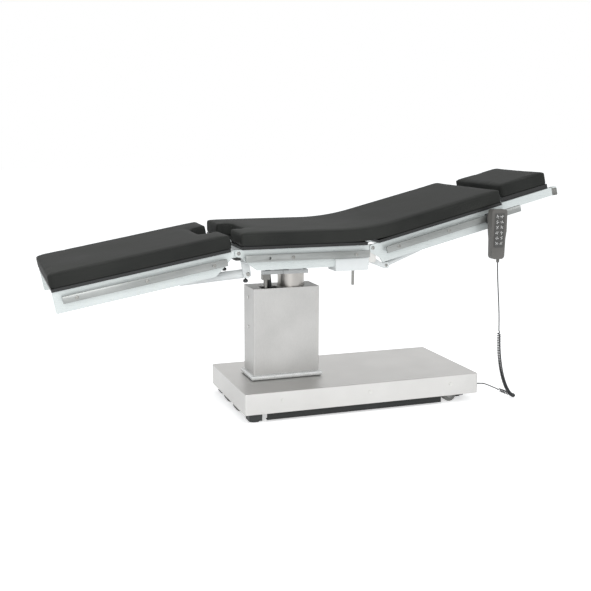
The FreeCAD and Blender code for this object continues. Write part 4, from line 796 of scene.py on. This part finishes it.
def smooth_curve(name, points):
    curve = bpy.data.curves.new(name, "CURVE")
    curve.dimensions = "3D"
    spline = curve.splines.new("NURBS")
    spline.points.add(len(points) - 1)
    for point, place in zip(spline.points, points):
        point.co = (*place, 1)
    spline.order_u = 3
    spline.use_endpoint_u = True
    curve.resolution_u = 12
    cord = bpy.data.objects.new(name, curve)
    scene.collection.objects.link(cord)
    return cord


def in_row(points):
    return [Vector(p) + Vector((COLUMN_X, COLUMN_Y, 0)) for p in points]


def line_points(cord):
    """The points that a curve with no bevel passes through."""
    mesh = bpy.data.meshes.new_from_object(cord.evaluated_get(bpy.context.evaluated_depsgraph_get()))
    points = [v.co.copy() for v in mesh.vertices]
    bpy.data.meshes.remove(mesh)
    return points


def helix_along(points, across, pitch, steps):
    """Points of a coil wound round a line; at both ends it narrows and stretches into a straight cord."""
    lengths = [0.0]
    for a, b in zip(points, points[1:]):
        lengths.append(lengths[-1] + (b - a).length)
    total = lengths[-1]
    count = int(total / pitch * steps)
    turned, k, angle = [], 0, 0.0
    side = Vector((0, 1, 0))
    for i in range(count + 1):
        run = total * i / count
        while k < len(points) - 2 and lengths[k + 1] < run:
            k += 1
        along = (points[k + 1] - points[k]).normalized()
        place = points[k] + along * (run - lengths[k])
        side = (side - along * side.dot(along)).normalized()
        share = min(1.0, run / COIL_LEAD_IN, (total - run) / COIL_LEAD_IN)
        taper = share * share * (3 - 2 * share)
        angle += 2 * math.pi / steps / (1 + 4 * (1 - taper))
        out = side * math.cos(angle) + along.cross(side) * math.sin(angle)
        turned.append(place + out * across / 2 * taper)
    return turned


# Extruded PVC: black, with a soft highlight along the cord and a very fine matt grain.
pvc = bpy.data.materials.new("black_pvc_cord")
pvc.use_nodes = True
cord_tree = pvc.node_tree
cord_shader = cord_tree.nodes["Principled BSDF"]
cord_shader.inputs["Roughness"].default_value = 0.42
cord_place = add(cord_tree, "ShaderNodeTexCoord").outputs["Object"]
grain = add(cord_tree, "ShaderNodeTexNoise", {"Vector": cord_place, "Scale": 900.0})
tint = add(cord_tree, "ShaderNodeMapRange", {0: grain.outputs[0], 3: 0.0, 4: 1.0})
dark = add(cord_tree, "ShaderNodeMix", {0: tint.outputs[0], 6: colour("17181A"), 7: colour("232427")},
           data_type="RGBA")
cord_tree.links.new(dark.outputs[2], cord_shader.inputs["Base Color"])
bump = add(cord_tree, "ShaderNodeBump",
           {"Height": grain.outputs[0], "Strength": 0.08, "Distance": 0.0002})
cord_tree.links.new(bump.outputs[0], cord_shader.inputs["Normal"])

lead_points = in_row(CORD_ROUTES["handset_lead"])
curl_points = in_row(CORD_ROUTES["handset_curl"])
tail_points = in_row(CORD_ROUTES["handset_tail"])
route_line = smooth_curve("curl_route", curl_points)
coil = helix_along(line_points(route_line), CURL_ACROSS - CORD_THICK, CURL_PITCH, CURL_STEPS)
bpy.data.objects.remove(route_line)
for label, points, body, leaves in (("handset_lead", lead_points, "handset", lead_points[0]),
                                    ("handset_curl", coil, "base", lead_points[-1]),
                                    ("handset_tail", tail_points, "base", tail_points[-1])):
    cord = smooth_curve(label + "_cord", points)
    length = sum((b - a).length for a, b in zip(line_points(cord), line_points(cord)[1:]))
    cord.data.bevel_depth = CORD_THICK / 2
    cord.data.bevel_resolution = 3
    cord.data.resolution_u = 3 if label == "handset_curl" else 12
    cord.data.use_fill_caps = True
    cord.data.materials.append(pvc)
    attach(cord, body)
    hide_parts(label)
